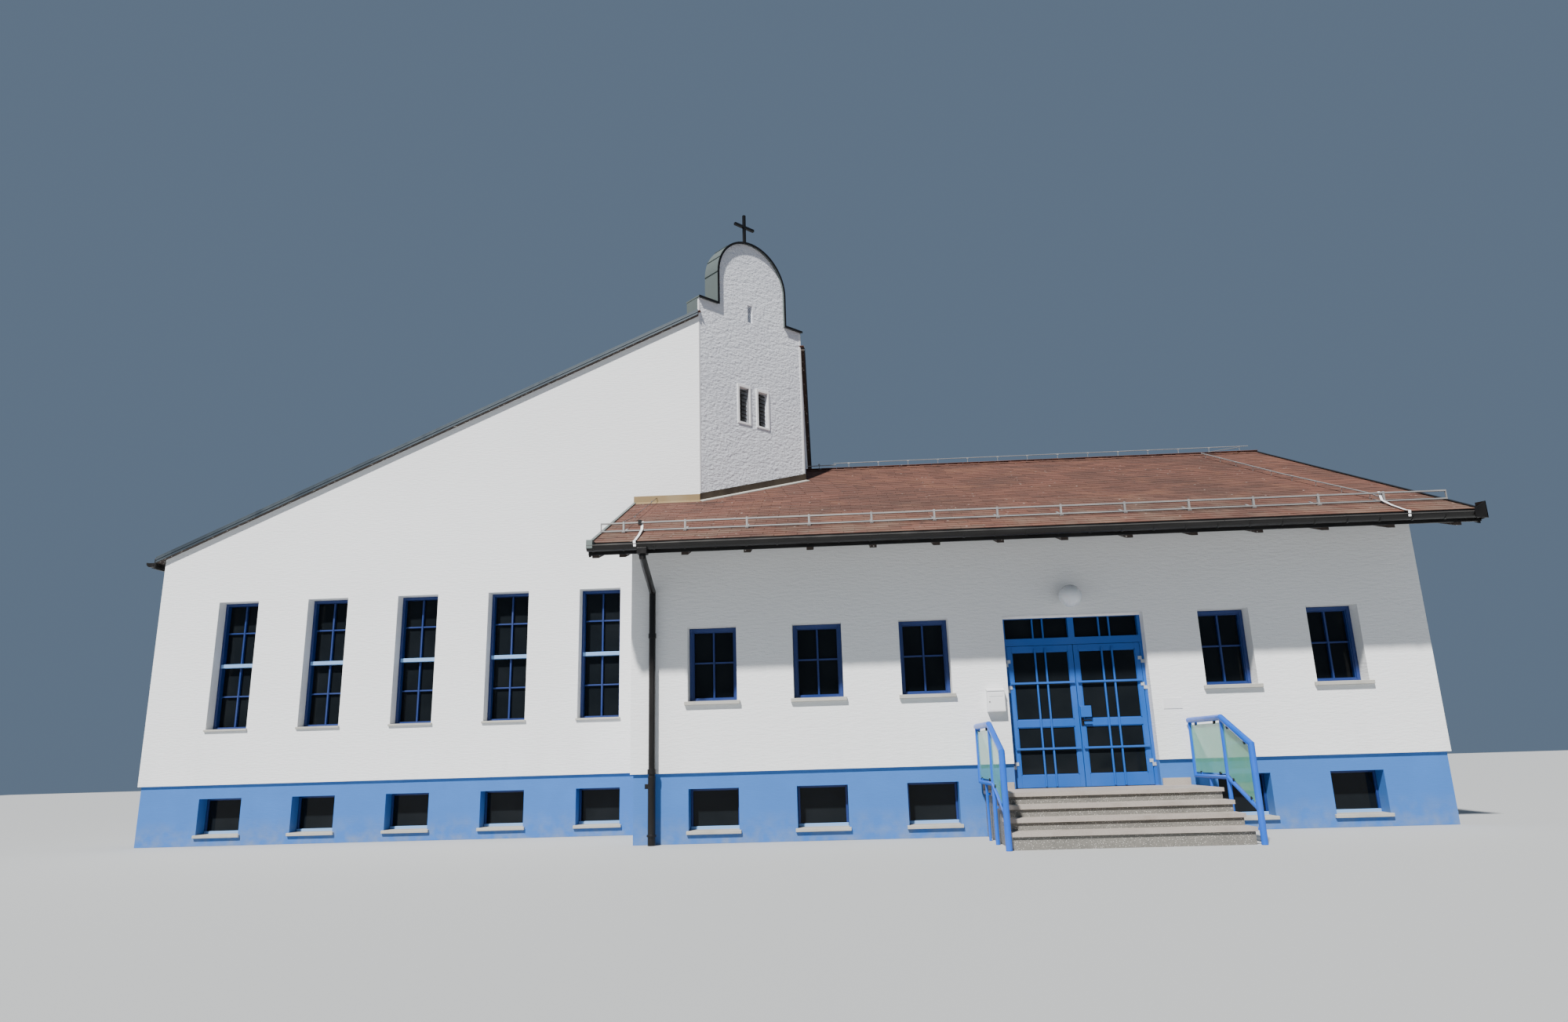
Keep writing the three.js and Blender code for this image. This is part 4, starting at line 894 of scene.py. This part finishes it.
class CHURCH_OT_roof_edges(bpy.types.Operator):
    """Verge strips, flashings, rafter tails and gutter fittings"""
    bl_idname = "church.roof_edges"
    bl_label = "Roof edges"

    def execute(self, context):
        self.nave_verges()
        self.wall_foot()
        self.gable_foot()
        self.gable_ends()
        self.rafter_tails()
        self.gutter_straps()
        self.downpipe_fittings()
        self.gutter_ends()
        self.gutter_beads()
        self.wing_drips()
        return {"FINISHED"}

    def nave_verges(self):
        """Folded strips along the nave's two open verges"""
        s = Shape()
        left = [Vector((x, NAVE_VERGE, nave_top(x))) for x in (NAVE_EAVE, 0.785)]
        back = [Vector((NAVE_SUM - q.y, NAVE_SUM - q.x, q.z)) for q in left]
        for path, out in ((left, Vector((0, -1, 0))), (back, Vector((1, 0, 0)))):
            for section in VERGE_SECTIONS:
                s.loft([[q + out * a + UP * b for a, b in rectangle(*section)] for q in path])
        s.make("nave_verge_strips", "verge")

    def wall_foot(self):
        """Upstand of beige sheet where the nave's front wall meets the wing roof"""
        s, y, z, low = Shape(), NAVE_FRONT, wing_top(NAVE_FRONT), NAVE_FRONT - 0.09
        s.box((-0.39, 0.79), (y - 0.016, y + 0.002), (z - 0.02, z + 0.135))
        s.along((-0.39, 0.80), [(low, wing_top(low) + 0.012), (y - 0.008, z + 0.012), (y - 0.008, z + 0.03),
                                (low, wing_top(low) + 0.018)])
        s.make("wall_foot_flashing", "beige_flashing", bevel=0.002)

    def gable_foot(self):
        """Stepped brown sheets at the bell gable's foot with a pale lower edge"""
        s, sheets, lap = Shape(on_gable), 6, 0.02
        for i in range(sheets):
            ends = (GABLE_WIDTH * i / sheets, GABLE_WIDTH * (i + 1) / sheets + lap)
            s.loft([[(t, inward, wing_top(NAVE_FRONT + H * t) + up)
                     for t, up in rectangle(*ends, -0.02, 0.15)]
                    for inward in (-0.012 - 0.003 * (i % 2), 0.004)])
        s.make("gable_foot_flashing", "brown_flashing")
        s = Shape(lambda t, inward, up: on_gable(t, inward, wing_top(on_gable(t, inward, 0).y) + up))
        s.box((-0.02, 2.60), (-0.12, -0.01), (0.014, 0.03))
        s.make("gable_foot_apron", "sill")

    def gable_ends(self):
        """Zinc on the bell gable's ends above the nave roof"""
        s, low = Shape(on_gable), 9.2
        for t in (-0.008, GABLE_WIDTH + 0.008):
            s.loft([[(t + a, inward, z) for inward, z in
                     ((0.02, low), (0.34, low + 0.12), (0.34, GABLE_TOP), (0.02, GABLE_TOP))]
                    for a in (-0.006, 0.006)])
        s.make("gable_end_cladding", "zinc")

    def rafter_tails(self):
        """Timber rafter tails under the wing's eaves"""
        tail, y0, y1, top = Shape(), 0.03, 1.13, -0.182
        tail.along((-0.05, 0.05), [(y0, -0.215), (y1, -0.345 + RISE * (y1 - y0)), (y1, top + RISE * y1),
                                   (y0, top + RISE * y0)])
        at = [RAFTER_START + sizes().rafter_pitch * i for i in range(RAFTER_COUNT)] + [FRONT_EAVE[0]]
        copies("rafter_tails", tail, wing_eaves(at, [x for x in at if x > BACK_RAFTERS]), "rafter",
               shake=(0, 0, 0.003), seed=21, bevel=0.004)

    def gutter_straps(self):
        """Straps folded round the troughs of all four gutters"""
        strap, pitch = Shape(), sizes().bracket_pitch
        arc = [math.radians(24 + 11 * k) for k in range(13)]
        inner, outer = ([(GUTTER_MIDDLE - r * math.cos(a), GUTTER_DROP - r * math.sin(a)) for a in arc]
                        for r in STRAP_RADII)
        for k in range(len(arc) - 1):
            strap.along((-STRAP_HALF, STRAP_HALF), [outer[k], outer[k + 1], inner[k + 1], inner[k]])
        low, far = nave_top(NAVE_EAVE), NAVE_SUM - NAVE_EAVE
        rows = wing_eaves(steps_between(*FRONT_EAVE, pitch), steps_between(*BACK_EAVE, pitch))
        rows += [spot((NAVE_EAVE, y, low), (0, 0, LEFT)) for y in steps_between(2.05, far - 0.1, pitch)]
        rows += [spot((x, far, low), (0, 0, BACK)) for x in steps_between(NAVE_EAVE + 0.1, 2.55, pitch)]
        copies("gutter_straps", strap, rows, "dark_metal", seed=22)

    def downpipe_fittings(self):
        """Outlet box, pipe sockets, clip and foot"""
        s = Shape()
        s.box((0.33, 0.47), (-1.30, -1.15), (4.0, 4.085))
        for low, high, radius in ((2.95, 3.02, 0.058), (0.985, 1.055, 0.064), (0.12, 0.15, 0.07),
                                  (0.0, 0.95, 0.056)):
            s.tube([(*PIPE, low), (*PIPE, high)], radius, 20)
        s.box((0.235, 0.29), (-0.10, -0.07), (0.78, 0.85))
        s.make("downpipe_fittings", "dark_metal", bevel=0.002)

    def gutter_ends(self):
        """Ends of the front gutter: the right one is bent up"""
        s, front, end = Shape(), -1.307, 11.945
        s.loft([[(11.78, y, 4.055), (end, y, 4.04), (end, y, 4.275 + up), (11.78, y, 4.17 + up)]
                for y, up in ((front, 0.0), (front + 0.012, 0.005))])
        s.loft([[(x, y, z) for x, z in rectangle(end - 0.01, end, 4.05, top)]
                for y, top in ((front, 4.275), (-1.10, 4.30))])
        s.make("gutter_ends", "dark_metal")
        s = Shape()
        s.box((-0.39, -0.30), (-1.303, -1.10), (4.10, 4.225))
        s.make("gutter_left_corner", "zinc", bevel=0.004)

    def gutter_beads(self):
        """Rolled front beads of all four gutters, in lighter metal as a painted highlight along the rims"""
        s, z, out = Shape(), nave_top(NAVE_EAVE) - 0.068, 0.166
        left, far = NAVE_EAVE - out, NAVE_SUM - NAVE_EAVE
        for a, b in (((-0.389, WING_DEPTH - BEAD_OUT, BEAD_Z), (11.944, WING_DEPTH - BEAD_OUT, BEAD_Z)),
                     ((2.70, BEAD_OUT, BEAD_Z), (11.944, BEAD_OUT, BEAD_Z)),
                     ((left, 1.952, z), (left, far, z)),
                     ((NAVE_EAVE, far + out, z), (2.686, far + out, z))):
            s.tube([a, b], BEAD_RADIUS)
        smooth(s.make("gutter_beads", "gutter_bead"))

    def wing_drips(self):
        """Thin drips on the wing's verges"""
        for side, coat, xs, runs in (
                ("left", "zinc", (-0.3895, -0.345), ((-1.14, 2.0),)),
                ("right", "dark_metal", (11.90, 11.9445), ((-1.14, RIDGE), (RIDGE, 11.54)))):
            s = Shape()
            for run in runs:
                s.solid([(x, y, wing_top(min(y, WING_DEPTH - y)) + up)
                         for y in run for up in (0.022, 0.034) for x in xs])
            s.make(f"wing_verge_drip_{side}", coat)


ROD_UP = 0.10                    # height of the rod and wire over the slope
SLOPE_ROD = ((10.64, 4.75), (10.79, 1.9), (11.04, -0.2), (11.01, -0.52))     # bends of the rod, from the top
GUARD_Y, GUARD_START, GUARD_PITCH, GUARD_POSTS = -0.54, -0.016, 0.922, 13    # snow guard


class CHURCH_OT_conductors(bpy.types.Operator):
    """Lightning conductor on the ridge and slopes, and the snow guard's feet"""
    bl_idname = "church.conductors"
    bl_label = "Conductors and snow guard"

    def execute(self, context):
        post = Shape()
        post.tube([(0, 0, -0.01), (0, 0, 0.13)], 0.006, 6)
        post.box((-0.02, 0.02), (-0.012, 0.012), (0.112, 0.128))
        post.box((-0.03, 0.03), (-0.05, 0.05), (0.0, 0.008))
        rows = [spot((x, RIDGE, wing_top(RIDGE) + 0.02))
                for x in steps_between(2.9, 11.6, sizes().post_pitch)]
        copies("ridge_conductor_posts", post, rows, "galvanised", shake=(0.05, 0.05, 0), seed=31)
        self.rods()
        self.wire()
        (top_x, top_y), (bend_x, bend_y), (_, low_y), _ = SLOPE_ROD
        rows = []
        for y in steps_between(low_y, top_y - 0.15, 0.62):
            x = top_x + 0.0526 * (top_y - y) if y > bend_y else bend_x + 0.119 * (bend_y - y)
            rows.append(spot((x, y, wing_top(y)), (SLOPE, 0, 0), (1, 1, 0.75)))
        rows += [spot((-0.01, y, wing_top(y)), (SLOPE, 0, 0), (0.6, 0.6, 0.75)) for y in (0.3, 1.7)]
        copies("slope_conductor_posts", post, rows, "galvanised", seed=33)
        self.bands()
        self.guard_feet()
        return {"FINISHED"}

    def rods(self):
        """Two rods on the ridge, the bent end of the upper one, and the rod down the slope"""
        s, top = Shape(), wing_top(RIDGE)
        s.tube([(2.64, RIDGE, top + 0.11), (3.25, RIDGE, top + 0.115)], 0.009, 6)
        s.tube([(3.2, RIDGE, top + 0.15), (11.78, RIDGE, top + 0.15)], 0.0075, 6)
        s.tube([(11.62, RIDGE - 0.02, top + 0.145), (11.44, RIDGE - 0.25, top + 0.05),
                (10.78, RIDGE - 0.45, top - 0.08)], 0.0065, 6)
        line = [(x, y, wing_top(y) + ROD_UP) for x, y in SLOPE_ROD]
        for ends in zip(line, line[1:]):
            s.tube(ends, 0.0115, 6)
        smooth(s.make("conductor_rods", "galvanised"))

    def wire(self):
        """The wire at the left end of the slope and its clamp"""
        s = Shape()
        s.tube([(x, y, wing_top(y) + up) for x, y, up in
                ((0.02, 2.0, ROD_UP), (-0.03, 0.2, ROD_UP), (-0.05, -0.52, 0.17))], 0.005, 6)
        s.box((0.20, 0.25), (-0.56, -0.50), (wing_top(GUARD_Y) + 0.13, wing_top(GUARD_Y) + 0.20))
        s.make("conductor_wire", "iron")

    def bands(self):
        """Pale bands that lead the conductors over the eave"""
        s, wide, thick = Shape(), 0.035, 0.004
        line = [(y, wing_top(y) + up)
                for y, up in ((-0.5, 0.17), (-0.58, 0.06), (-0.85, 0.035), (-1.16, 0.03))]
        line += [(-1.29, wing_top(-1.16) - 0.01), (-1.3065, 4.10)]
        for x, lean in ((0.235, 0.01), (11.0, -0.02)):
            for k, ends in enumerate(zip(line, line[1:])):
                s.solid([(x + lean * (k + i) + a, y, z + b) for i, (y, z) in enumerate(ends)
                         for a in (0.0, wide) for b in (0, thick)])
        s.make("conductor_bands", "white_paint")

    def guard_feet(self):
        """Feet that hold the snow guard to the roof"""
        foot = Shape()
        foot.box((-0.016, 0.016), (-0.03, 0.30), (0.014, 0.020))
        foot.box((-0.024, 0.024), (-0.03, 0.03), (0.012, 0.04))
        rows = [spot((GUARD_START + GUARD_PITCH * i, GUARD_Y, wing_top(GUARD_Y)), (SLOPE, 0, 0))
                for i in range(GUARD_POSTS)]
        copies("snow_guard_feet", foot, rows, "galvanised", seed=32)
        dress("galvanised", "snow_guard")


# ---------------------------------------------------------------- entrance

DOOR_EDGES, DOOR_MIDDLE = (5.6, 7.56), 6.58      # inner faces of the frame's posts, and the meeting line
DOOR_OPENING = (5.555, 7.605)
LEAF_LOW, LEAF_HIGH, LEAF_FACE = 0.638, 2.67, 0.16
HINGES, KNUCKLE, KNUCKLE_RADIUS = (0.9, 1.99, 2.37), 0.0495, 0.0095
BAR_APART = 0.075                # of each upright bar from the middle of its pane
STILE, LOWER_RAIL, UPPER_RAIL = 0.072, 0.172, 0.09
LOCK_RAIL = (0.851, 0.952)       # over the leaf's lower edge
DOOR_BARS = (0.542, 1.483)       # middles of the bars across the panes, over the same edge


class CHURCH_OT_entrance(bpy.types.Operator):
    """Door leaves with panes, uprights, lock box and hinges, and the light above them"""
    bl_idname = "church.entrance"
    bl_label = "Entrance"

    def execute(self, context):
        for side, way, edge in (("left", 1, DOOR_EDGES[0]), ("right", -1, DOOR_EDGES[1])):
            body, axis = f"{side}_leaf", edge + way * 0.0025
            self.leaf(side, *sorted((edge + way * 0.005, DOOR_MIDDLE - way * 0.004)), body)
            self.hinges(axis, way, body, f"door_hinge_{side}_leaf", KNUCKLE + 0.0007)
            self.hinges(axis, -way, "church", f"door_hinge_{side}_frame", 0.0)
        self.lock()
        self.upper_light()
        return {"FINISHED"}

    def leaf(self, side, a, b, body):
        """Frame, bars, panes and beads of a leaf between a and b"""
        low, high, y, middle = LEAF_LOW, LEAF_HIGH, LEAF_FACE, (a + b) / 2
        face, across = (y, y + 0.05), (a + STILE, b - STILE)
        s = Shape()
        s.box((a, across[0]), face, (low, high))
        s.box((across[1], b), face, (low, high))
        for z in ((low, low + LOWER_RAIL), (low + LOCK_RAIL[0], low + LOCK_RAIL[1]),
                  (high - UPPER_RAIL, high)):
            s.box(across, face, z)
        s.make(f"door_leaf_{side}_frame", "door_blue", body, bevel=0.003)
        s = Shape()
        for x in (middle - BAR_APART, middle + BAR_APART):
            s.box((x - 0.0125, x + 0.0125), (y - 0.022, y + 0.006), (low + 0.012, high - 0.05))
        bars = [(low + up - 0.014, low + up + 0.014) for up in DOOR_BARS]
        for z in bars:
            s.box((a + 0.02, b - 0.02), (y - 0.034, y - 0.012), z)
        for x in (a + 0.04, b - 0.04):
            for z in bars:
                s.box((x - 0.012, x + 0.012), (y - 0.014, y + 0.004), z)
        s.make(f"door_leaf_{side}_bars", "door_blue", body, bevel=0.003)
        s = Shape()
        s.box((a + 0.05, b - 0.05), (y + 0.02, y + 0.03), (low + 0.1, high - 0.06))
        panes_made = s.make(f"door_leaf_{side}_panes", "glass", body)
        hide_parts(f"door_leaf_{side}")
        s, (x0, x1), t = Shape(), across, 0.012
        for z0, z1 in ((low + LOWER_RAIL, low + LOCK_RAIL[0]), (low + LOCK_RAIL[1], high - UPPER_RAIL)):
            for x, z in (((x0, x0 + t), (z0, z1)), ((x1 - t, x1), (z0, z1)),
                         ((x0, x1), (z0, z0 + t)), ((x0, x1), (z1 - t, z1))):
                s.box(x, (y + 0.008, y + 0.02), z)
        s.make(f"door_leaf_{side}_beads", "door_blue", body)

    def hinges(self, axis, way, body, name, lift):
        """Knuckles and plates of one side's three hinges; the leaf's half stands over the frame's"""
        s, y = Shape(), LEAF_FACE - 0.010
        for z in HINGES:
            low, high = z + lift, z + lift + KNUCKLE
            s.tube([(axis, y, low), (axis, y, high)], KNUCKLE_RADIUS, 14)
            s.box(sorted((axis, axis + way * 0.045)), (y + 0.0005, y + 0.0105), (low, high))
        smooth(s.make(name, "hinge", body))

    def lock(self):
        """Lock box and lever on the right leaf"""
        s = Shape()
        s.box((6.594, 6.749), (0.105, 0.162), (1.611, 1.773))
        s.make("lock_box", "door_blue", "right_leaf", bevel=0.006)
        s = Shape()
        s.box((6.60, 6.64), (0.15, 0.162), (1.49, 1.60))
        s.tube([(6.62, 0.155, 1.565), (6.62, 0.108, 1.565), (6.74, 0.108, 1.565)], 0.009, 12)
        s.make("door_lever", "iron", "right_leaf", bevel=0.002)

    def upper_light(self):
        """Thin uprights before the two upper lights, and the trim of the opening's head"""
        s, half = Shape(), 0.011
        for middle in (6.09, 7.07):
            for x in (middle - BAR_APART, middle + BAR_APART):
                s.box((x - half, x + half), (0.17, 0.20), (2.775, 3.08))
        s.make("upper_light_bars", "door_blue", bevel=0.002)
        s, top = Shape(), 3.11
        s.box(DOOR_OPENING, (0.14, 0.162), (top - 0.032, top))
        s.box(DOOR_OPENING, (-0.003, 0.14), (top - 0.003, top))
        s.make("door_head_trim", "smooth_plaster")
        dress("door_blue", "door_frame")
        dress("glass", "transom_glass")


RAILING_X = (5.045, 8.06)
PANE_TOP, PANE_FOOT = 1.455, 0.8     # height of the clamps at a pane's upper and lower edge
STEP_LEAN, STEP_EDGE_Y = 0.39, -1.26     # lean of the railings' sloping part, and where it starts


class CHURCH_OT_steps(bpy.types.Operator):
    """Stone of the steps and the railings' paint, glass and clamps"""
    bl_idname = "church.steps"
    bl_label = "Steps and railings"

    def execute(self, context):
        dress("riser", "step_base")
        dress("tread", "landing_slab", "upper_tread", "middle_tread", "lower_tread")
        dress("rail_blue", "railing_left", "railing_right")
        dress("rail_glass", *[n for n in NODES if n.startswith("railing_") and "glass" in n])
        for name in ("railing_left", "railing_right"):
            smooth(NODES[name], 38)
        # Dark clamps that grip the panes: level ones over the landing, leaning ones over the steps
        clamp, rows = Shape(), []
        clamp.box((-0.014, 0.014), (-0.02, 0.02), (-0.018, 0.022))
        for x in RAILING_X:
            rows += [spot((x, y, z)) for z in (PANE_TOP, PANE_FOOT) for y in (-0.325, -1.015)]
            rows += [spot((x, y, z + fall * (y - STEP_EDGE_Y)), (STEP_LEAN, 0, 0))
                     for y in (-1.435, -1.92) for z, fall in ((PANE_TOP, 0.408), (PANE_FOOT, 0.427))]
        copies("railing_clamps", clamp, rows, "iron", seed=41, bevel=0.003)
        return {"FINISHED"}


LOUVRES = ((0.95, 1.185), (1.415, 1.65))     # left and right edges of the bell openings along the face
LOUVRE_LOW, LOUVRE_HIGH = 7.29, 7.995
CAP_MIDDLE, CAP_SPRING = 1.295, 10.196       # middle and foot of the cap's round top
DRIP_RADIUS, SEAM_RADIUS, SEAMS = 0.84, 0.868, 9


class CHURCH_OT_bell_gable(bpy.types.Operator):
    """Roughcast, louvres, white surrounds and cap of the bell gable"""
    bl_idname = "church.bell_gable"
    bl_label = "Bell gable"

    def execute(self, context):
        dress("roughcast", "bell_gable")
        dress("zinc", "gable_cap")
        dress("iron", "gable_cross")
        self.surrounds()
        self.louvres()
        # Bright beads down the two edges of the face
        s = Shape(on_gable)
        s.box((2.545, 2.592), (-0.006, 0.03), (6.55, 9.49))
        s.box((-0.004, 0.03), (-0.005, 0.03), (5.72, 9.49))
        s.make("gable_corner_beads", "smooth_plaster", bevel=0.002)
        self.drip_edge()
        self.seams()
        return {"FINISHED"}

    def surrounds(self):
        """White bands round the bell openings, flush with their edges"""
        s, y = Shape(on_gable), (-0.016, 0.07)
        low, high = LOUVRE_LOW - 0.035, LOUVRE_HIGH + 0.05
        for a, b in LOUVRES:
            s.box((a - 0.05, a), y, (low, high))
            s.box((b, b + 0.045), y, (low, high))
            s.box((a, b), y, (low, LOUVRE_LOW + 0.006))
            s.box((a, b), y, (LOUVRE_HIGH - 0.006, high))
        s.make("louvre_surrounds", "smooth_plaster", bevel=0.004)

    def louvres(self):
        """Slats that rise to the inside, and near-black sheets behind them that paint in the shade of the
        bell chamber
        """
        slat, near, far, rise, thick = Shape(), 0.062, 0.142, 0.05, 0.012
        slat.along((0.004, 0.231), [(near, 0.0), (far, rise), (far, rise + thick), (near, thick)])
        n, height = sizes().louvre_count, LOUVRE_HIGH - LOUVRE_LOW - 0.09
        rows = [spot(on_gable(a, 0, LOUVRE_LOW + 0.03 + height * i / (n - 1)), (0, 0, math.pi / 4))
                for a, b in LOUVRES for i in range(n)]
        slats = copies("louvre_slats", slat, rows, "louvre", seed=51)
        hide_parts("bell_louvres")
        s, gap = Shape(on_gable), 0.003
        for a, b in LOUVRES:
            # Painted shade: dark sheets where there is only the shade of the bell chamber.
            s.box((a + gap, b - gap), (0.22, 0.24), (LOUVRE_LOW + gap, LOUVRE_HIGH - gap))
        s.make("louvre_backs", "louvre")

    def drip_edge(self):
        """Dark drip edge along the cap's front"""
        mid, r, spring, top = CAP_MIDDLE, DRIP_RADIUS, CAP_SPRING, GABLE_TOP
        arc = [math.pi * k / 32 for k in range(33)]
        line = [Vector((-0.02, top)), Vector((mid - r, top))]
        line += [Vector((mid - r * math.cos(a), spring + r * math.sin(a))) for a in arc]
        line += [Vector((mid + r, top)), Vector((2.609, top))]
        ways = [(b - a).normalized() for a, b in zip(line, line[1:])]
        out = [Vector((-w.y, w.x)) for w in ways]
        rings = []
        for i, here in enumerate(line):
            near, far = out[max(0, i - 1)], out[min(len(out) - 1, i)]
            lean = (near + far).normalized()
            lean = lean / lean.dot(near)
            rings.append([(here.x + lean.x * up, inward, here.y + lean.y * up)
                          for inward, up in rectangle(-0.058, -0.0505, -0.012, 0.03)])
        s = Shape(on_gable)
        s.loft(rings)
        s.make("cap_drip_edge", "dark_metal")

    def seams(self):
        """Standing seams across the cap's round top"""
        seam, r, rows = Shape(), SEAM_RADIUS, []
        seam.box((-0.004, 0.004), (-0.049, 0.348), (0.0, 0.012))
        for i in range(SEAMS):
            a = math.pi * i / (SEAMS - 1)
            at = on_gable(CAP_MIDDLE + r * math.cos(a), 0, CAP_SPRING + r * math.sin(a))
            rows.append(spot(at, (0, math.pi / 2 - a, math.pi / 4)))
        copies("cap_seams", seam, rows, "zinc", seed=52)


LAMP_X, LAMP_Z, LAMP_BASE = 6.53, 3.345, 0.082   # middle of the lamp and radius of its base
LETTER_BOX_X, LETTER_BOX_Z, LETTER_BOX_OUT = (5.228, 5.482), (1.72, 2.015), -0.112
PLATE_X, PLATE_Z, PLATE_RIM = (7.75, 8.015), (1.69, 1.84), 0.012


class CHURCH_OT_fittings(bpy.types.Operator):
    """Globe lamp, letter box and wall plate"""
    bl_idname = "church.fittings"
    bl_label = "Fittings"

    def execute(self, context):
        dress("opal", "globe_lamp")
        smooth(NODES["globe_lamp"], 45)
        s = Shape()
        s.tube([(LAMP_X, -0.066, LAMP_Z), (LAMP_X, -0.001, LAMP_Z)], LAMP_BASE, 28)
        s.make("lamp_base", "hinge", bevel=0.006)
        self.letter_box()
        s = Shape()
        s.box(PLATE_X, (-0.008, -0.0005), PLATE_Z)
        s.box((PLATE_X[0] + PLATE_RIM, PLATE_X[1] - PLATE_RIM), (-0.0075, -0.0065),
              (PLATE_Z[0] + PLATE_RIM, PLATE_Z[1] - PLATE_RIM))
        plate = s.make("wall_plate_face", "white_paint", bevel=0.0015)
        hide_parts("wall_plate")
        return {"FINISHED"}

    def letter_box(self):
        """Case with a sloping lid, a flap and a lock"""
        s, (x0, x1), (low, high), out, back = Shape(), LETTER_BOX_X, LETTER_BOX_Z, LETTER_BOX_OUT, -0.001
        s.along((x0, x1), [(back, low), (out, low), (out, high), (back, high + 0.03)])
        box = s.make("letter_box_case", "white_paint", bevel=0.006)
        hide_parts("letter_box")
        s = Shape()
        s.along((x0 - 0.003, x1 + 0.003), [(back, high + 0.031), (out - 0.008, high - 0.003),
                                           (out - 0.008, high + 0.011), (back, high + 0.045)])
        s.box((x0 + 0.03, x1 - 0.03), (-0.117, -0.111), (1.935, 1.985))
        s.box((x0 + 0.012, x1 - 0.012), (-0.1145, -0.111), (1.74, 1.92))
        s.make("letter_box_lid", "white_paint", bevel=0.002)
        s = Shape()
        s.tube([(x0 + 0.03, -0.119, 1.86), (x0 + 0.03, -0.11, 1.86)], 0.009, 14)
        s.make("letter_box_lock", "iron")


class CHURCH_OT_walls(bpy.types.Operator):
    """Plaster, floors, roof undersides, boards and gutters"""
    bl_idname = "church.walls"
    bl_label = "Walls and floors"

    def execute(self, context):
        dress("wall", *[n for n in NODES if "wall" in n and n != "wall_plate"])
        dress("floor", "nave_floor", "wing_floor")
        dress("rafter", "wing_roof_front", "wing_roof_back", "nave_roof_left", "nave_roof_back")
        round_pieces = ("wing_front_gutter", "wing_back_gutter", "nave_left_gutter", "nave_back_gutter",
                        "front_downpipe")
        dress("dark_metal", "wing_verge_board_left", "wing_verge_board_right", *round_pieces)
        for name in round_pieces:
            smooth(NODES[name])
        return {"FINISHED"}


# ---------------------------------------------------------------- stage

FOCAL, PHOTO_WIDTH = 1250, 1999  # in pixels of the picture
CAMERA = (3.018, -14.662, 1.183)
YAW, PITCH, ROLL = -0.0449, 0.2450, -0.0294
SUN_WAY, SUN_STRENGTH, SUN_SPREAD = (0.42, 1.0, -1.28), 8.0, 2.5
SKY, SKY_STRENGTH = (0.50, 0.70, 1.0, 1), 0.24


class CHURCH_OT_stage(bpy.types.Operator):
    """Pale floor, soft light and the camera"""
    bl_idname = "church.stage"
    bl_label = "Stage"

    def execute(self, context):
        scene = context.scene
        s = Shape()
        s.box((-60, 60), (-45, 60), (-0.06, -0.002))
        ground = s.make("stage_floor", "stage_floor", body=None)
        world = bpy.data.worlds.new("studio")
        world.use_nodes = True
        back = next(n for n in world.node_tree.nodes if n.type == "BACKGROUND")
        back.inputs[0].default_value, back.inputs[1].default_value = SKY, SKY_STRENGTH
        scene.world = world
        sun = bpy.data.lights.new("key", "SUN")
        sun.energy, sun.angle, sun.color = SUN_STRENGTH, math.radians(SUN_SPREAD), (1.0, 0.98, 0.95)
        key = put("key", sun)
        key.rotation_mode = "QUATERNION"
        key.rotation_quaternion = Vector(SUN_WAY).to_track_quat("-Z", "Y")

        level = math.cos(PITCH)
        ahead = Vector((math.sin(YAW) * level, math.cos(YAW) * level, math.sin(PITCH)))
        side = Vector((math.cos(YAW), -math.sin(YAW), 0))
        over = side.cross(ahead)
        right = side * math.cos(ROLL) + over * math.sin(ROLL)
        up = over * math.cos(ROLL) - side * math.sin(ROLL)
        lens = bpy.data.cameras.new("camera")
        lens.sensor_fit, lens.sensor_width, lens.lens = "HORIZONTAL", 36.0, 36.0 * FOCAL / PHOTO_WIDTH
        lens.clip_start, lens.clip_end = 0.1, 500
        camera = put("camera", lens)
        camera.matrix_world = Matrix((right, up, -ahead)).transposed().to_4x4()
        camera.location = Vector(CAMERA) + HOME
        scene.camera = camera
        return {"FINISHED"}


class CHURCH_PT_panel(bpy.types.Panel):
    """Lists the church's pieces"""
    bl_label = "Church"
    bl_idname = "CHURCH_PT_panel"
    bl_space_type = "VIEW_3D"
    bl_region_type = "UI"
    bl_category = "Church"

    def draw(self, context):
        for operator in OPERATORS:
            self.layout.operator(operator.bl_idname)
        for group in (context.scene.church_sizes, context.scene.church_colours):
            box = self.layout.box()
            for key in group.__annotations__:
                box.prop(group, key)


OPERATORS = (CHURCH_OT_walls, CHURCH_OT_bell_gable, CHURCH_OT_windows, CHURCH_OT_shingles,
             CHURCH_OT_roof_edges, CHURCH_OT_conductors, CHURCH_OT_entrance, CHURCH_OT_steps,
             CHURCH_OT_fittings, CHURCH_OT_stage)
CLASSES = (ChurchSizes, ChurchColours, *OPERATORS, CHURCH_PT_panel)


def register():
    for made in CLASSES:
        bpy.utils.register_class(made)
    bpy.types.Scene.church_sizes = PointerProperty(type=ChurchSizes)
    bpy.types.Scene.church_colours = PointerProperty(type=ChurchColours)


def unregister():
    del bpy.types.Scene.church_colours
    del bpy.types.Scene.church_sizes
    for made in reversed(CLASSES):
        bpy.utils.unregister_class(made)


def main():
    register()
    for operator in OPERATORS:
        group, name = operator.bl_idname.split(".")
        getattr(getattr(bpy.ops, group), name)()


if __name__ == "__main__":
    main()
